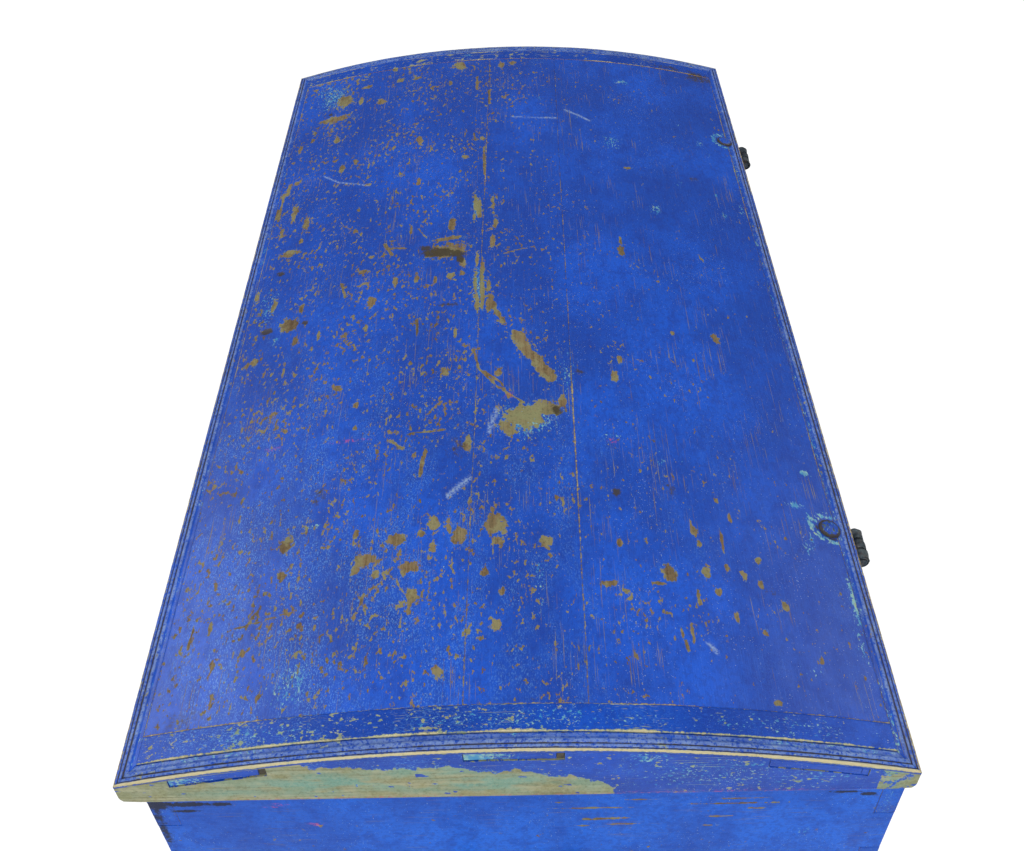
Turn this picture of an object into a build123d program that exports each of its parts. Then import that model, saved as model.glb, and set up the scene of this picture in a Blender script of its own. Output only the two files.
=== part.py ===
"""Dome-top pine trunk: coopered lid, dovetailed carcass, iron hinges, lock, till and handles.

Millimetres. +Z is up and z = 0 is the floor. X runs along the trunk, the front is at -Y and the
hinges are at +Y. The origin is on the floor under the middle of the lid.
"""
import os
from math import asin, cos, degrees, sqrt

from build123d import *

os.makedirs("parts", exist_ok=True)

# Whole trunk
LID_LENGTH = 1188.0
LID_WIDTH = 640.0
TOTAL_HEIGHT = 560.0
LID_GAP = 0.3
LID_EDGE = 28.0
DOME_RISE = 44.0
OVERHANG = 12.5

# Boards
BOARD = 20.0
BACK_BOARD = 17.5
FLOOR_BOARD = 18.0
FLOOR_Z = 12.0
SPLIT_Z = 206.75
DOVETAIL_PITCH = 62.5
DOVETAIL_FLARE = 3.3
PLINTH_HEIGHT = 84.0
PLINTH_THICK = 16.0
PLINTH_BEVEL = 8.0

# Lid planks, clamps and their joints
CLAMP = 41.0
VAULT_HALF = 295.0
VAULT_RISE = 48.0
SEAM_FRONT = (-26.0, -41.0)
SEAM_BACK = (69.0, 59.0)
TENON_COVER = 6.0
TENON_THICK = 10.0
TENON_WEDGE = 6.0
TENON_SPANS = ((-275.0, -195.0), (-40.0, 38.0), (198.0, 278.0))

# Reeded moulding: (distance in from the edge, height over the arch)
MOULD_WIDTH = 16.5
MOULD_DEPTH = 5.0
MOULD_REEDS = (
    (0.0, -1.6),
    (0.8, -0.6),
    (2.2, -0.7),
    (3.0, -2.2),
    (3.8, -1.0),
    (4.8, -0.5),
    (5.8, -0.8),
    (6.8, -2.4),
    (7.8, -0.7),
    (9.4, -0.3),
    (10.6, -0.9),
    (12.0, -2.0),
    (15.0, -1.8),
    (MOULD_WIDTH, -2.2),
)

# Hinges
HINGE_X = {"right": 342.0, "left": -374.0}
HINGE_Y = 331.0
BARREL_RADIUS = 9.0
BARREL_LENGTH = 36.0
KNUCKLE = 12.0
KNUCKLE_GAP = 0.3
PIN_RADIUS = 3.0
PIN_PLAY = 0.08
STRAP = 3.0
STRAP_WIDTH = 32.0
STRAP_END_Y = 165.0
STRAP_JOGGLE_Y = 290.0
LEAF_BOTTOM = 350.0
LEAF_NECK = 5.0
PIN_HEAD = 4.6
PIN_HEAD_LENGTH = 1.2
RIVETS = ((346.0, 298.0), (-365.5, 300.5))
RIVET_HEAD = 11.0
RIVET_RIM = 2.0
RIVET_SUNK = 0.4
RIVET_DOME_R = 24.0
RIVET_RISE = 2.6
RIVET_SHANK = 3.0
RIVET_LENGTH = 38.0
NAIL_HEAD = 5.0
NAIL_SHANK = 2.0
NAIL_HEAD_HEIGHT = 2.0
NAIL_LENGTH = 20.0
STRAP_NAIL_Y = (255.0, 205.0)
LEAF_NAILS = ((-14.0, 462.0), (14.0, 440.0), (-10.0, 405.0), (8.0, 368.0))
LEAF_NAIL_DEPTH = 12.0

# Lock
KEY_Z = 443.0
KEY_SHANK = 3.5
BIT_REACH = 14.0
BOLT_Y = (-279.0, -275.0)
BOLT_Z = (452.0, 466.0)
BOLT_X = (-42.0, 12.0)
CASE_HALF = 50.0
CASE_Z = (424.0, 472.0)
CASE_BACK_Y = -264.0
CASE_WALL = 2.0
STAPLE_X = 20.0
STAPLE_ROD = 2.5
STAPLE_LEGS = (-283.5, -270.5)
STAPLE_BOTTOM = 446.0
STAPLE_PLATE_HALF = 18.0
STAPLE_PLATE_Y = (-286.5, -252.0)
STAPLE_NOTCH_HALF = 6.0
GUIDES_X = ((-36.0, -33.0), (4.0, 7.0))
EAR = 12.0
EAR_THICK = 2.0
EAR_INSET = 4.0
LOCK_NAILS = ((-56.0, 434.0), (-56.0, 462.0), (56.0, 434.0), (56.0, 462.0))
LOCK_NAIL_SHANK = 1.8
LOCK_NAIL_HEAD = 3.6
LOCK_NAIL_DEPTH = 14.0
PIVOT_HOLE = 2.6
BOLT_NOTCH_X = (-25.0, -8.0)
BOLT_NOTCH_DEPTH = 7.0
KEY_STUB = 2.5
KEY_OUT = 16.0
KEY_COLLAR = 5.2
KEY_COLLAR_LENGTH = 3.0
KEY_BIT_HALF = 1.5
KEY_BIT_Y = (-281.0, -273.5)
KEY_STEP_Y = -270.0
BOW_R = 10.0
BOW_ROD = 2.6
KEYHOLE_PLAY = 1.0
KEYHOLE_HALF = 2.4
KEYHOLE_PAST = 2.0
PLATE_THICK = 1.6
PLATE_R = 24.0
PLATE_TAIL_R = 15.0
PLATE_PINS = ((-18.0, 0.0), (18.0, 0.0), (0.0, -34.0), (0.0, 19.0))
PLATE_PIN_SHANK = 1.0
PLATE_PIN_HEAD = 2.2
PLATE_PIN_DEPTH = 9.0

# Till
TILL_WIDTH = 112.0
TILL_BOARD = 10.0
TILL_TOP = 368.0
TILL_BOTTOM = 258.0
TILL_LID = 8.0
TILL_HOUSING = 5.0
TILL_PIVOT_X = -552.0
TILL_PIVOT_RADIUS = 4.0
TILL_PIVOT_LENGTH = 8.0
TILL_LID_BACK = 6.0
TILL_LID_NOSE = 3.0
TILL_LID_PLAY = 1.0
PIVOT_END_PLAY = 0.5

# Handles
HANDLE_Z = 323.0
HANDLE_STAND = 13.0
HANDLE_HALF = 58.0
HANDLE_DROP = 64.0
HANDLE_ROD = 4.5
EYE_Y = 48.0
EYE_RADIUS = 9.0
EYE_WIDTH = 7.0
EYE_SHANK = 3.5
EYE_BORE_PLAY = 0.1
CLENCH = 2.5
CLENCH_HALF_Y = 5.0
CLENCH_HALF_Z = 14.0
HANDLE_TAPER = 6.0
HANDLE_BEND = 6.0
ROD_END = 7.0
GRIP_RADIUS = 6.5
GRIP_LENGTH = 50.0
GRIP_TAPER = 12.0
HANDLE_PLATE = 2.0
HANDLE_PLATE_HALF_Y = 70.0
HANDLE_PLATE_HALF_Z = 20.0

# Floor boards and their nails
FLOOR_SEAMS = (-100.0, 110.0)
FLOOR_NAIL_LENGTH = 45.0
LONG_NAILS_X = (-480.0, -240.0, 0.0, 240.0, 480.0)
END_NAILS_Y = (-210.0, -20.0, 20.0, 210.0)
BACK_NAIL_INSET = 9.0

# Places worked out from the sizes above
HALF_L = LID_LENGTH / 2
HALF_W = LID_WIDTH / 2
RIM_Z = TOTAL_HEIGHT - DOME_RISE - LID_EDGE
ARCH_R = (HALF_W**2 + DOME_RISE**2) / (2 * DOME_RISE)
ARCH_Z = TOTAL_HEIGHT - ARCH_R
LID_Z = RIM_Z + LID_GAP
VAULT_R = (VAULT_HALF**2 + VAULT_RISE**2) / (2 * VAULT_RISE)
VAULT_Z = LID_Z + VAULT_RISE - VAULT_R
END_X = HALF_L - OVERHANG
FRONT_Y = -HALF_W + OVERHANG
BACK_Y = HALF_W
INNER_X = END_X - BOARD
INNER_FRONT = FRONT_Y + BOARD
INNER_BACK = BACK_Y - BACK_BOARD
WALL_Z = FLOOR_Z + FLOOR_BOARD
CLAMP_X = HALF_L - CLAMP


def save(shape, node):
    export_step(shape, f"parts/{node}.step")


def block(x0, x1, y0, y1, z0, z1):
    centre = Pos((x0 + x1) / 2, (y0 + y1) / 2, (z0 + z1) / 2)
    return centre * Box(x1 - x0, y1 - y0, z1 - z0)


def prism_xy(points, z0, z1):
    face = make_face(Polyline(*[(x, y, z0) for x, y in points], close=True))
    return extrude(face, amount=z1 - z0, dir=(0, 0, 1))


def prism_xz(points, y0, y1):
    face = make_face(Polyline(*[(x, y0, z) for x, z in points], close=True))
    return extrude(face, amount=y1 - y0, dir=(0, 1, 0))


def prism_yz(points, x0, x1):
    face = make_face(Polyline(*[(x0, y, z) for y, z in points], close=True))
    return extrude(face, amount=x1 - x0, dir=(1, 0, 0))


def rod_x(radius, x0, x1, y, z):
    return Pos((x0 + x1) / 2, y, z) * Rot(0, 90, 0) * Cylinder(radius, x1 - x0)


def rod_y(radius, x, y0, y1, z):
    return Pos(x, (y0 + y1) / 2, z) * Rot(90, 0, 0) * Cylinder(radius, y1 - y0)


def rod_z(radius, x, y, z0, z1):
    return Pos(x, y, (z0 + z1) / 2) * Cylinder(radius, z1 - z0)


def group(solids):
    return Compound(children=list(solids))


def both_ends(shape):
    return shape, mirror(shape, Plane.YZ)


def radial(x, y, radius, centre_z):
    """A frame on an arch about the X axis, its Z pointing straight out of the curve."""
    lean = asin(y / radius)
    return Pos(x, y, centre_z + radius * cos(lean)) * Rot(-degrees(lean), 0, 0)


def arch_band(inner, outer, x0, x1):
    return rod_x(outer, x0, x1, 0, ARCH_Z) - rod_x(inner, x0 - 1, x1 + 1, 0, ARCH_Z)


def vault_band(inner, outer, x0, x1):
    return rod_x(outer, x0, x1, 0, VAULT_Z) - rod_x(inner, x0 - 1, x1 + 1, 0, VAULT_Z)


def moulding_rebate():
    """The step round the lid's top edges that the mouldings lie in."""
    reach = HALF_L + 1
    side = HALF_W + 1
    ring = block(-reach, reach, -side, side, RIM_Z + 10, TOTAL_HEIGHT + 10)
    field_x = HALF_L - MOULD_WIDTH
    field_y = HALF_W - MOULD_WIDTH
    ring -= block(-field_x, field_x, -field_y, field_y, RIM_Z, TOTAL_HEIGHT + 20)
    return ring - rod_x(ARCH_R - MOULD_DEPTH, -reach - 1, reach + 1, 0, ARCH_Z)


def tenon(span):
    """One plank's tongue through the right clamp, and the wedge at its back edge."""
    y0, y1 = span
    outer = ARCH_R - TENON_COVER
    band = arch_band(outer - TENON_THICK, outer, CLAMP_X, HALF_L)
    slot = band & block(CLAMP_X, HALF_L, y0, y1, RIM_Z, TOTAL_HEIGHT)
    corner = [(HALF_L, y1 - TENON_WEDGE), (HALF_L, y1), (CLAMP_X + 8, y1)]
    wedge = slot & prism_xy(corner, RIM_Z, TOTAL_HEIGHT)
    return slot, slot - wedge, wedge


def rivet(x, y):
    """A domed rivet square to the lid's top, through plank and strap."""
    place = radial(x, y, ARCH_R, ARCH_Z)
    head = Pos(0, 0, -RIVET_SUNK - RIVET_RIM / 2) * Cylinder(RIVET_HEAD, RIVET_RIM)
    dome = Pos(0, 0, RIVET_RISE - RIVET_DOME_R) * Sphere(RIVET_DOME_R)
    crown = RIVET_RISE + RIVET_SUNK
    head += dome & (Pos(0, 0, RIVET_RISE - crown / 2) * Cylinder(RIVET_HEAD - 0.5, crown))
    shank = Pos(0, 0, -1 - RIVET_LENGTH / 2) * Cylinder(RIVET_SHANK, RIVET_LENGTH)
    return place * (head + shank)


def lid_strap(x):
    """Hinge strap let in over the back wall and bent up along the vault, with one knuckle."""
    half = STRAP_WIDTH / 2
    joggle_y = INNER_BACK - 2.5
    strap = block(x - half, x + half, STRAP_JOGGLE_Y, BACK_Y, LID_Z, LID_Z + STRAP)
    strap += block(x - half, x + half, STRAP_JOGGLE_Y, joggle_y, LID_Z - STRAP, LID_Z + STRAP)
    run = vault_band(VAULT_R - STRAP, VAULT_R, x - half, x + half)
    strap += run & block(x - half, x + half, STRAP_END_Y, VAULT_HALF, RIM_Z - 10, TOTAL_HEIGHT)
    neck = KNUCKLE / 2
    strap += block(x - neck, x + neck, BACK_Y - 2, HINGE_Y, LID_Z, LID_Z + STRAP)
    strap += rod_x(BARREL_RADIUS, x - neck, x + neck, HINGE_Y, RIM_Z)
    return strap - rod_x(PIN_RADIUS + PIN_PLAY, x - neck - 1, x + neck + 1, HINGE_Y, RIM_Z)


def strap_nails(x):
    for y in STRAP_NAIL_Y:
        head = Pos(0, 0, -STRAP - NAIL_HEAD_HEIGHT / 2) * Cylinder(NAIL_HEAD, NAIL_HEAD_HEIGHT)
        shank = Pos(0, 0, NAIL_LENGTH / 2 - STRAP) * Cylinder(NAIL_SHANK, NAIL_LENGTH)
        yield radial(x, y, VAULT_R, VAULT_Z) * (head + shank)


def body_leaf(x):
    """Hinge leaf on the outside of the back, with the two outer knuckles."""
    half = BARREL_LENGTH / 2
    top = RIM_Z - BARREL_RADIUS - 1
    leaf = block(x - half, x + half, BACK_Y, BACK_Y + STRAP, LEAF_BOTTOM, top)
    inner = KNUCKLE / 2 + KNUCKLE_GAP
    for x0, x1 in ((x - half, x - inner), (x + inner, x + half)):
        leaf += block(x0, x1, BACK_Y, BACK_Y + LEAF_NECK, top - 1, RIM_Z)
        leaf += rod_x(BARREL_RADIUS, x0, x1, HINGE_Y, RIM_Z)
    return leaf - rod_x(PIN_RADIUS, x - half - 1, x + half + 1, HINGE_Y, RIM_Z)


def hinge_pin(x):
    half = BARREL_LENGTH / 2
    pin = rod_x(PIN_RADIUS, x - half, x + half, HINGE_Y, RIM_Z)
    for side in (-1, 1):
        x0, x1 = sorted((x + side * half, x + side * (half + PIN_HEAD_LENGTH)))
        pin += rod_x(PIN_HEAD, x0, x1, HINGE_Y, RIM_Z)
    return pin


def leaf_nails(x):
    face = BACK_Y + STRAP
    for dx, z in LEAF_NAILS:
        shank = rod_y(NAIL_SHANK, x + dx, BACK_Y - LEAF_NAIL_DEPTH, face, z)
        yield shank + rod_y(NAIL_HEAD, x + dx, face, face + NAIL_HEAD_HEIGHT, z)


def dovetail_sockets(y0, y1):
    """The end walls' pins, as prisms through the front or back wall at both ends."""
    sockets = []
    top = RIM_Z - DOVETAIL_PITCH
    while top > WALL_Z + DOVETAIL_FLARE:
        bottom = max(top - DOVETAIL_PITCH, WALL_Z)
        low = bottom - DOVETAIL_FLARE if bottom > WALL_Z else WALL_Z
        shape = [
            (INNER_X, top + DOVETAIL_FLARE),
            (END_X, top),
            (END_X, bottom),
            (INNER_X, low),
        ]
        sockets.extend(both_ends(prism_xz(shape, y0, y1)))
        top -= 2 * DOVETAIL_PITCH
    return sockets


def nails_under(points):
    return [rod_z(NAIL_SHANK, x, y, FLOOR_Z, FLOOR_Z + FLOOR_NAIL_LENGTH) for x, y in points]


def bail(side):
    """A drop handle: one bent rod with inturned ends and a thicker grip."""
    path = FilletPolyline(
        (0, EYE_Y - ROD_END, 0),
        (0, HANDLE_HALF, 0),
        (0, HANDLE_HALF - HANDLE_TAPER, -HANDLE_DROP),
        (0, -HANDLE_HALF + HANDLE_TAPER, -HANDLE_DROP),
        (0, -HANDLE_HALF, 0),
        (0, -EYE_Y + ROD_END, 0),
        radius=HANDLE_BEND,
    )
    rod = sweep(Plane(path @ 0, z_dir=path % 0) * Circle(HANDLE_ROD), path=path)
    grip = Pos(0, 0, -HANDLE_DROP) * Rot(90, 0, 0) * Cylinder(GRIP_RADIUS, GRIP_LENGTH)
    for end in (-1, 1):
        taper = Cone(GRIP_RADIUS, HANDLE_ROD, GRIP_TAPER)
        taper_y = end * (GRIP_LENGTH + GRIP_TAPER) / 2
        grip += Pos(0, taper_y, -HANDLE_DROP) * Rot(-90 * end, 0, 0) * taper
    x = side * (END_X + HANDLE_STAND)
    return Pos(x, 0, HANDLE_Z) * (rod + grip)


def handle_eyes(side):
    """Two eyes through the end wall, each clenched over a small plate inside."""
    pivot = END_X + HANDLE_STAND
    eyes = []
    for y in (-EYE_Y, EYE_Y):
        half = EYE_WIDTH / 2
        eye = rod_y(EYE_RADIUS, pivot, y - half, y + half, HANDLE_Z)
        eye += rod_x(EYE_SHANK, INNER_X - 1, pivot, y, HANDLE_Z)
        low, high = HANDLE_Z - CLENCH_HALF_Z, HANDLE_Z + CLENCH_HALF_Z
        eye += block(INNER_X - CLENCH, INNER_X, y - CLENCH_HALF_Y, y + CLENCH_HALF_Y, low, high)
        eye -= rod_y(HANDLE_ROD + EYE_BORE_PLAY, pivot, y - EYE_WIDTH, y + EYE_WIDTH, HANDLE_Z)
        eyes.append(eye)
    return [mirror(eye, Plane.YZ) for eye in eyes] if side < 0 else eyes


# Wooden lid
tenons = [tenon(span) for span in TENON_SPANS]
rebate = moulding_rebate()
arch = rod_x(ARCH_R, -HALF_L, HALF_L, 0, ARCH_Z)
lid_blank = arch & block(-HALF_L, HALF_L, -HALF_W, HALF_W, LID_Z, TOTAL_HEIGHT + 1)
lid_blank -= rebate
field = lid_blank & block(-CLAMP_X, CLAMP_X, -HALF_W, HALF_W, LID_Z, TOTAL_HEIGHT + 1)
field -= rod_x(VAULT_R, -HALF_L, HALF_L, 0, VAULT_Z)

straps = {name: lid_strap(x) for name, x in HINGE_X.items()}
rivets = [rivet(x, y) for x, y in RIVETS]
nails = [nail for x in HINGE_X.values() for nail in strap_nails(x)]

clamp = lid_blank & block(CLAMP_X, HALF_L, -HALF_W, HALF_W, LID_Z, TOTAL_HEIGHT + 1)
for slot, tongue, wedge in tenons:
    clamp -= slot
for node, shape in zip(("lid_end_clamp_right", "lid_end_clamp_left"), both_ends(clamp)):
    save(shape, node)

wedges = [shape for slot, tongue, wedge in tenons for shape in both_ends(wedge)]
save(group(wedges), "lid_tenon_wedges")


def seam_y(seam, x):
    return seam[0] + (seam[1] - seam[0]) * (x + CLAMP_X) / (2 * CLAMP_X)


plank_edges = {
    "front": ((-HALF_W, -HALF_W), SEAM_FRONT),
    "centre": (SEAM_FRONT, SEAM_BACK),
    "back": (SEAM_BACK, (HALF_W, HALF_W)),
}
for (name, (low, high)), (slot, tongue, wedge) in zip(plank_edges.items(), tenons):
    outline = [(-CLAMP_X, low[0]), (CLAMP_X, low[1]), (CLAMP_X, high[1]), (-CLAMP_X, high[0])]
    plank = field & prism_xy(outline, RIM_Z, TOTAL_HEIGHT + 1)
    for tongue_end in both_ends(tongue):
        plank += tongue_end
    if name == "back":
        for strap in straps.values():
            plank -= strap
        for fastener in rivets + nails:
            plank -= fastener
    save(plank, f"lid_plank_{name}")

# Mouldings
profile = [(0.0, -MOULD_DEPTH), *MOULD_REEDS, (MOULD_WIDTH, -MOULD_DEPTH)]
side_points = []
for inset, height in [(0.0, -MOULD_DEPTH - 1), *MOULD_REEDS, (MOULD_WIDTH, -MOULD_DEPTH - 1)]:
    y = -HALF_W + inset
    side_points.append((y, ARCH_Z + sqrt((ARCH_R + height) ** 2 - y**2)))
inner_x = HALF_L - MOULD_WIDTH
inner_y = HALF_W - MOULD_WIDTH
side_trim = [(-HALF_L, -HALF_W), (HALF_L, -HALF_W), (inner_x, -inner_y), (-inner_x, -inner_y)]
front_mould = prism_yz(side_points, -HALF_L, HALF_L) & prism_xy(side_trim, RIM_Z, TOTAL_HEIGHT)
front_mould -= rod_x(ARCH_R - MOULD_DEPTH, -HALF_L - 1, HALF_L + 1, 0, ARCH_Z)
back_mould = mirror(front_mould, Plane.XZ)
for fastener in rivets:
    back_mould -= fastener
save(front_mould, "lid_moulding_front")
save(back_mould, "lid_moulding_back")

sweep_half = degrees(asin(HALF_W / (ARCH_R - MOULD_DEPTH))) + 1
end_points = [(HALF_L - inset, 0, ARCH_Z + ARCH_R + height) for inset, height in profile]
end_face = make_face(Polyline(*end_points, close=True))
arch_axis = Axis((0, 0, ARCH_Z), (1, 0, 0))
end_face = end_face.rotate(arch_axis, -sweep_half)
end_trim = [(HALF_L, -HALF_W), (HALF_L, HALF_W), (inner_x, inner_y), (inner_x, -inner_y)]
end_mould = revolve(end_face, axis=arch_axis, revolution_arc=2 * sweep_half)
end_mould = end_mould & prism_xy(end_trim, RIM_Z, TOTAL_HEIGHT + 5)
for node, shape in zip(("lid_moulding_right", "lid_moulding_left"), both_ends(end_mould)):
    save(shape, node)

# Lid iron
for name, strap in straps.items():
    for fastener in rivets + nails:
        strap -= fastener
    save(strap, f"lid_hinge_strap_{name}")
save(group(rivets), "hinge_rivets")
save(group(nails), "lid_strap_nails")

plate_x = (STAPLE_X - STAPLE_PLATE_HALF, STAPLE_X + STAPLE_PLATE_HALF)
staple = vault_band(VAULT_R - STRAP, VAULT_R, *plate_x)
staple = staple & block(*plate_x, *STAPLE_PLATE_Y, RIM_Z - 10, TOTAL_HEIGHT)
for leg_y in STAPLE_LEGS:
    staple += rod_z(STAPLE_ROD, STAPLE_X, leg_y, STAPLE_BOTTOM, RIM_Z + 2)
staple += rod_y(STAPLE_ROD, STAPLE_X, STAPLE_LEGS[0], STAPLE_LEGS[1], STAPLE_BOTTOM)
for leg_y in STAPLE_LEGS:
    staple += Pos(STAPLE_X, leg_y, STAPLE_BOTTOM) * Sphere(STAPLE_ROD)
save(staple, "lid_staple")

# Carcass walls
front = block(-END_X, END_X, FRONT_Y, INNER_FRONT, WALL_Z, RIM_Z)
back = block(-END_X, END_X, INNER_BACK, BACK_Y, WALL_Z, RIM_Z)
end_wall = block(INNER_X, END_X, INNER_FRONT, INNER_BACK, WALL_Z, RIM_Z)
end_walls = dict(zip(("right", "left"), both_ends(end_wall)))
for y0, y1 in ((FRONT_Y, INNER_FRONT), (INNER_BACK, BACK_Y)):
    for socket in dovetail_sockets(y0, y1):
        front -= socket
        back -= socket
        end = "right" if socket.center().X > 0 else "left"
        end_walls[end] += socket

# Till
till_x1 = -INNER_X + TILL_WIDTH
housing_y = (INNER_FRONT - TILL_HOUSING, INNER_BACK + TILL_HOUSING)
till_front = block(till_x1 - TILL_BOARD, till_x1, *housing_y, TILL_BOTTOM, TILL_TOP)
till_bottom = block(-INNER_X, till_x1 - TILL_BOARD, *housing_y, TILL_BOTTOM, TILL_BOTTOM + TILL_BOARD)
lid_low = TILL_TOP + LID_GAP
pivot_z = lid_low + TILL_LID / 2
till_lid = block(
    TILL_PIVOT_X - TILL_LID_BACK,
    till_x1 + TILL_LID_NOSE,
    INNER_FRONT + TILL_LID_PLAY,
    INNER_BACK - TILL_LID_PLAY,
    lid_low,
    lid_low + TILL_LID,
)
front_pin = INNER_FRONT - TILL_PIVOT_LENGTH
back_pin = INNER_BACK + TILL_PIVOT_LENGTH
till_lid += rod_y(TILL_PIVOT_RADIUS, TILL_PIVOT_X, front_pin, back_pin, pivot_z)
hole_y = (front_pin - PIVOT_END_PLAY, back_pin + PIVOT_END_PLAY)
pivot_hole = rod_y(TILL_PIVOT_RADIUS + PIN_PLAY, TILL_PIVOT_X, *hole_y, pivot_z)
save(till_front, "till_front")
save(till_bottom, "till_bottom")
save(till_lid, "till_lid")

# Lock
case = block(-CASE_HALF, CASE_HALF, INNER_FRONT, CASE_BACK_Y, *CASE_Z)
inside = CASE_HALF - CASE_WALL
case_low = CASE_Z[0] + CASE_WALL
case_high = CASE_Z[1] - CASE_WALL
case -= block(-inside, inside, INNER_FRONT - 1, CASE_BACK_Y - CASE_WALL, case_low, case_high)
notch_x = (STAPLE_X - STAPLE_NOTCH_HALF, STAPLE_X + STAPLE_NOTCH_HALF)
notch_back = CASE_BACK_Y - CASE_WALL - 0.5
case -= block(*notch_x, INNER_FRONT - 1, notch_back, case_high - 1, CASE_Z[1] + 1)
for x0, x1 in GUIDES_X:
    guide = block(x0, x1, INNER_FRONT, CASE_BACK_Y - CASE_WALL, BOLT_Z[0] - 4, case_high)
    guide -= block(
        x0 - 1, x1 + 1, BOLT_Y[0] - 0.1, BOLT_Y[1] + 0.1, BOLT_Z[0] - 0.1, BOLT_Z[1] + 0.1
    )
    case += guide
for side in (-1, 1):
    x0, x1 = sorted((side * CASE_HALF, side * (CASE_HALF + EAR)))
    ear_z = (CASE_Z[0] + EAR_INSET, CASE_Z[1] - EAR_INSET)
    case += block(x0, x1, INNER_FRONT, INNER_FRONT + EAR_THICK, *ear_z)
lock_nails = []
ear_face = INNER_FRONT + EAR_THICK
for x, z in LOCK_NAILS:
    shank = rod_y(LOCK_NAIL_SHANK, x, INNER_FRONT - LOCK_NAIL_DEPTH, ear_face, z)
    lock_nails.append(shank + rod_y(LOCK_NAIL_HEAD, x, ear_face, ear_face + 1.5, z))
for nail in lock_nails:
    case -= nail
case -= rod_y(PIVOT_HOLE, 0, CASE_BACK_Y - 5, CASE_BACK_Y + 1, KEY_Z)
save(case, "lock_case")
save(group(lock_nails), "lock_nails")

slot_y = (FRONT_Y - 3, INNER_FRONT + 1)
slot_bottom = KEY_Z - BIT_REACH - KEYHOLE_PAST
keyhole = rod_y(KEY_SHANK + KEYHOLE_PLAY, 0, *slot_y, KEY_Z)
keyhole += block(-KEYHOLE_HALF, KEYHOLE_HALF, *slot_y, slot_bottom, KEY_Z)

bolt = block(*BOLT_X, *BOLT_Y, *BOLT_Z)
notch_z = (BOLT_Z[0] - 1, BOLT_Z[0] + BOLT_NOTCH_DEPTH)
bolt -= block(*BOLT_NOTCH_X, BOLT_Y[0] - 1, BOLT_Y[1] + 1, *notch_z)
save(bolt, "lock_bolt")

key_end = FRONT_Y - KEY_OUT
key = rod_y(KEY_SHANK, 0, key_end, KEY_STEP_Y, KEY_Z)
key += rod_y(KEY_STUB, 0, KEY_STEP_Y - 1, CASE_BACK_Y - 0.5, KEY_Z)
key += block(-KEY_BIT_HALF, KEY_BIT_HALF, *KEY_BIT_Y, KEY_Z - BIT_REACH, KEY_Z)
key += rod_y(KEY_COLLAR, 0, key_end, key_end + KEY_COLLAR_LENGTH, KEY_Z)
bow = Rot(0, 90, 0) * Torus(BOW_R, BOW_ROD)
key += Pos(0, key_end - BOW_R - 0.5, KEY_Z) * bow
save(key, "key")

plate_y = FRONT_Y - PLATE_THICK
plate = rod_y(PLATE_R, 0, plate_y, FRONT_Y, KEY_Z)
plate += rod_y(PLATE_TAIL_R, 0, plate_y, FRONT_Y, KEY_Z - PLATE_R)
plate_pins = []
for x, rise in PLATE_PINS:
    z = KEY_Z + rise
    shank = rod_y(PLATE_PIN_SHANK, x, plate_y, FRONT_Y + PLATE_PIN_DEPTH, z)
    plate_pins.append(shank + rod_y(PLATE_PIN_HEAD, x, plate_y - 1.0, plate_y, z))
plate -= keyhole
for pin in plate_pins:
    plate -= pin
save(plate, "key_escutcheon")
save(group(plate_pins), "escutcheon_pins")

# Handles
for name, side in (("right", 1), ("left", -1)):
    eyes = handle_eyes(side)
    x0, x1 = sorted((side * END_X, side * (END_X + HANDLE_PLATE)))
    half_y, half_z = HANDLE_PLATE_HALF_Y, HANDLE_PLATE_HALF_Z
    handle_plate = block(x0, x1, -half_y, half_y, HANDLE_Z - half_z, HANDLE_Z + half_z)
    for end in (-1, 1):
        handle_plate += rod_x(half_z, x0, x1, end * half_y, HANDLE_Z)
    for eye in eyes:
        handle_plate -= eye
        end_walls[name] -= eye
    save(handle_plate, f"handle_plate_{name}")
    save(group(eyes), f"handle_eyes_{name}")
    save(bail(side), f"handle_bail_{name}")

# Hinge leaves, pins and nails
back_nails = [nail for x in HINGE_X.values() for nail in leaf_nails(x)]
for name, x in HINGE_X.items():
    leaf = body_leaf(x)
    for nail in back_nails:
        leaf -= nail
    save(leaf, f"body_hinge_leaf_{name}")
    save(hinge_pin(x), f"hinge_pin_{name}")
save(group(back_nails), "hinge_leaf_nails")

# Cuts that the fittings need in the walls
front = front - till_front - till_bottom - pivot_hole - keyhole
for nail in lock_nails + plate_pins:
    front -= nail
back = back - till_front - till_bottom - pivot_hole
for nail in back_nails:
    back -= nail

lower = block(-END_X - 1, END_X + 1, FRONT_Y - 1, BACK_Y + 1, 0, SPLIT_Z)
upper = block(-END_X - 1, END_X + 1, FRONT_Y - 1, BACK_Y + 1, SPLIT_Z, RIM_Z + 1)
end_x = END_X - BOARD / 2
floor_nails = {
    "front": nails_under([(x, FRONT_Y + BOARD / 2) for x in LONG_NAILS_X]),
    "back": nails_under([(x, BACK_Y - BACK_NAIL_INSET) for x in LONG_NAILS_X]),
    "right": nails_under([(end_x, y) for y in END_NAILS_Y]),
    "left": nails_under([(-end_x, y) for y in END_NAILS_Y]),
}
walls = {
    "front_board": (front, floor_nails["front"]),
    "back_board": (back, floor_nails["back"]),
    "end_board_right": (end_walls["right"], floor_nails["right"]),
    "end_board_left": (end_walls["left"], floor_nails["left"]),
}
for name, (wall, wall_nails) in walls.items():
    save(wall & upper, f"{name}_upper")
    low_board = wall & lower
    for nail in wall_nails:
        low_board -= nail
    save(low_board, f"{name}_lower")

# Floor and plinth
all_floor_nails = [nail for nails_of in floor_nails.values() for nail in nails_of]
floor_edges = (FRONT_Y, *FLOOR_SEAMS, BACK_Y)
for name, y0, y1 in zip(("front", "middle", "back"), floor_edges, floor_edges[1:]):
    board = block(-END_X, END_X, y0, y1, FLOOR_Z, WALL_Z)
    for nail in all_floor_nails:
        board -= nail
    save(board, f"floor_board_{name}")
save(group(all_floor_nails), "floor_nails")

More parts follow.
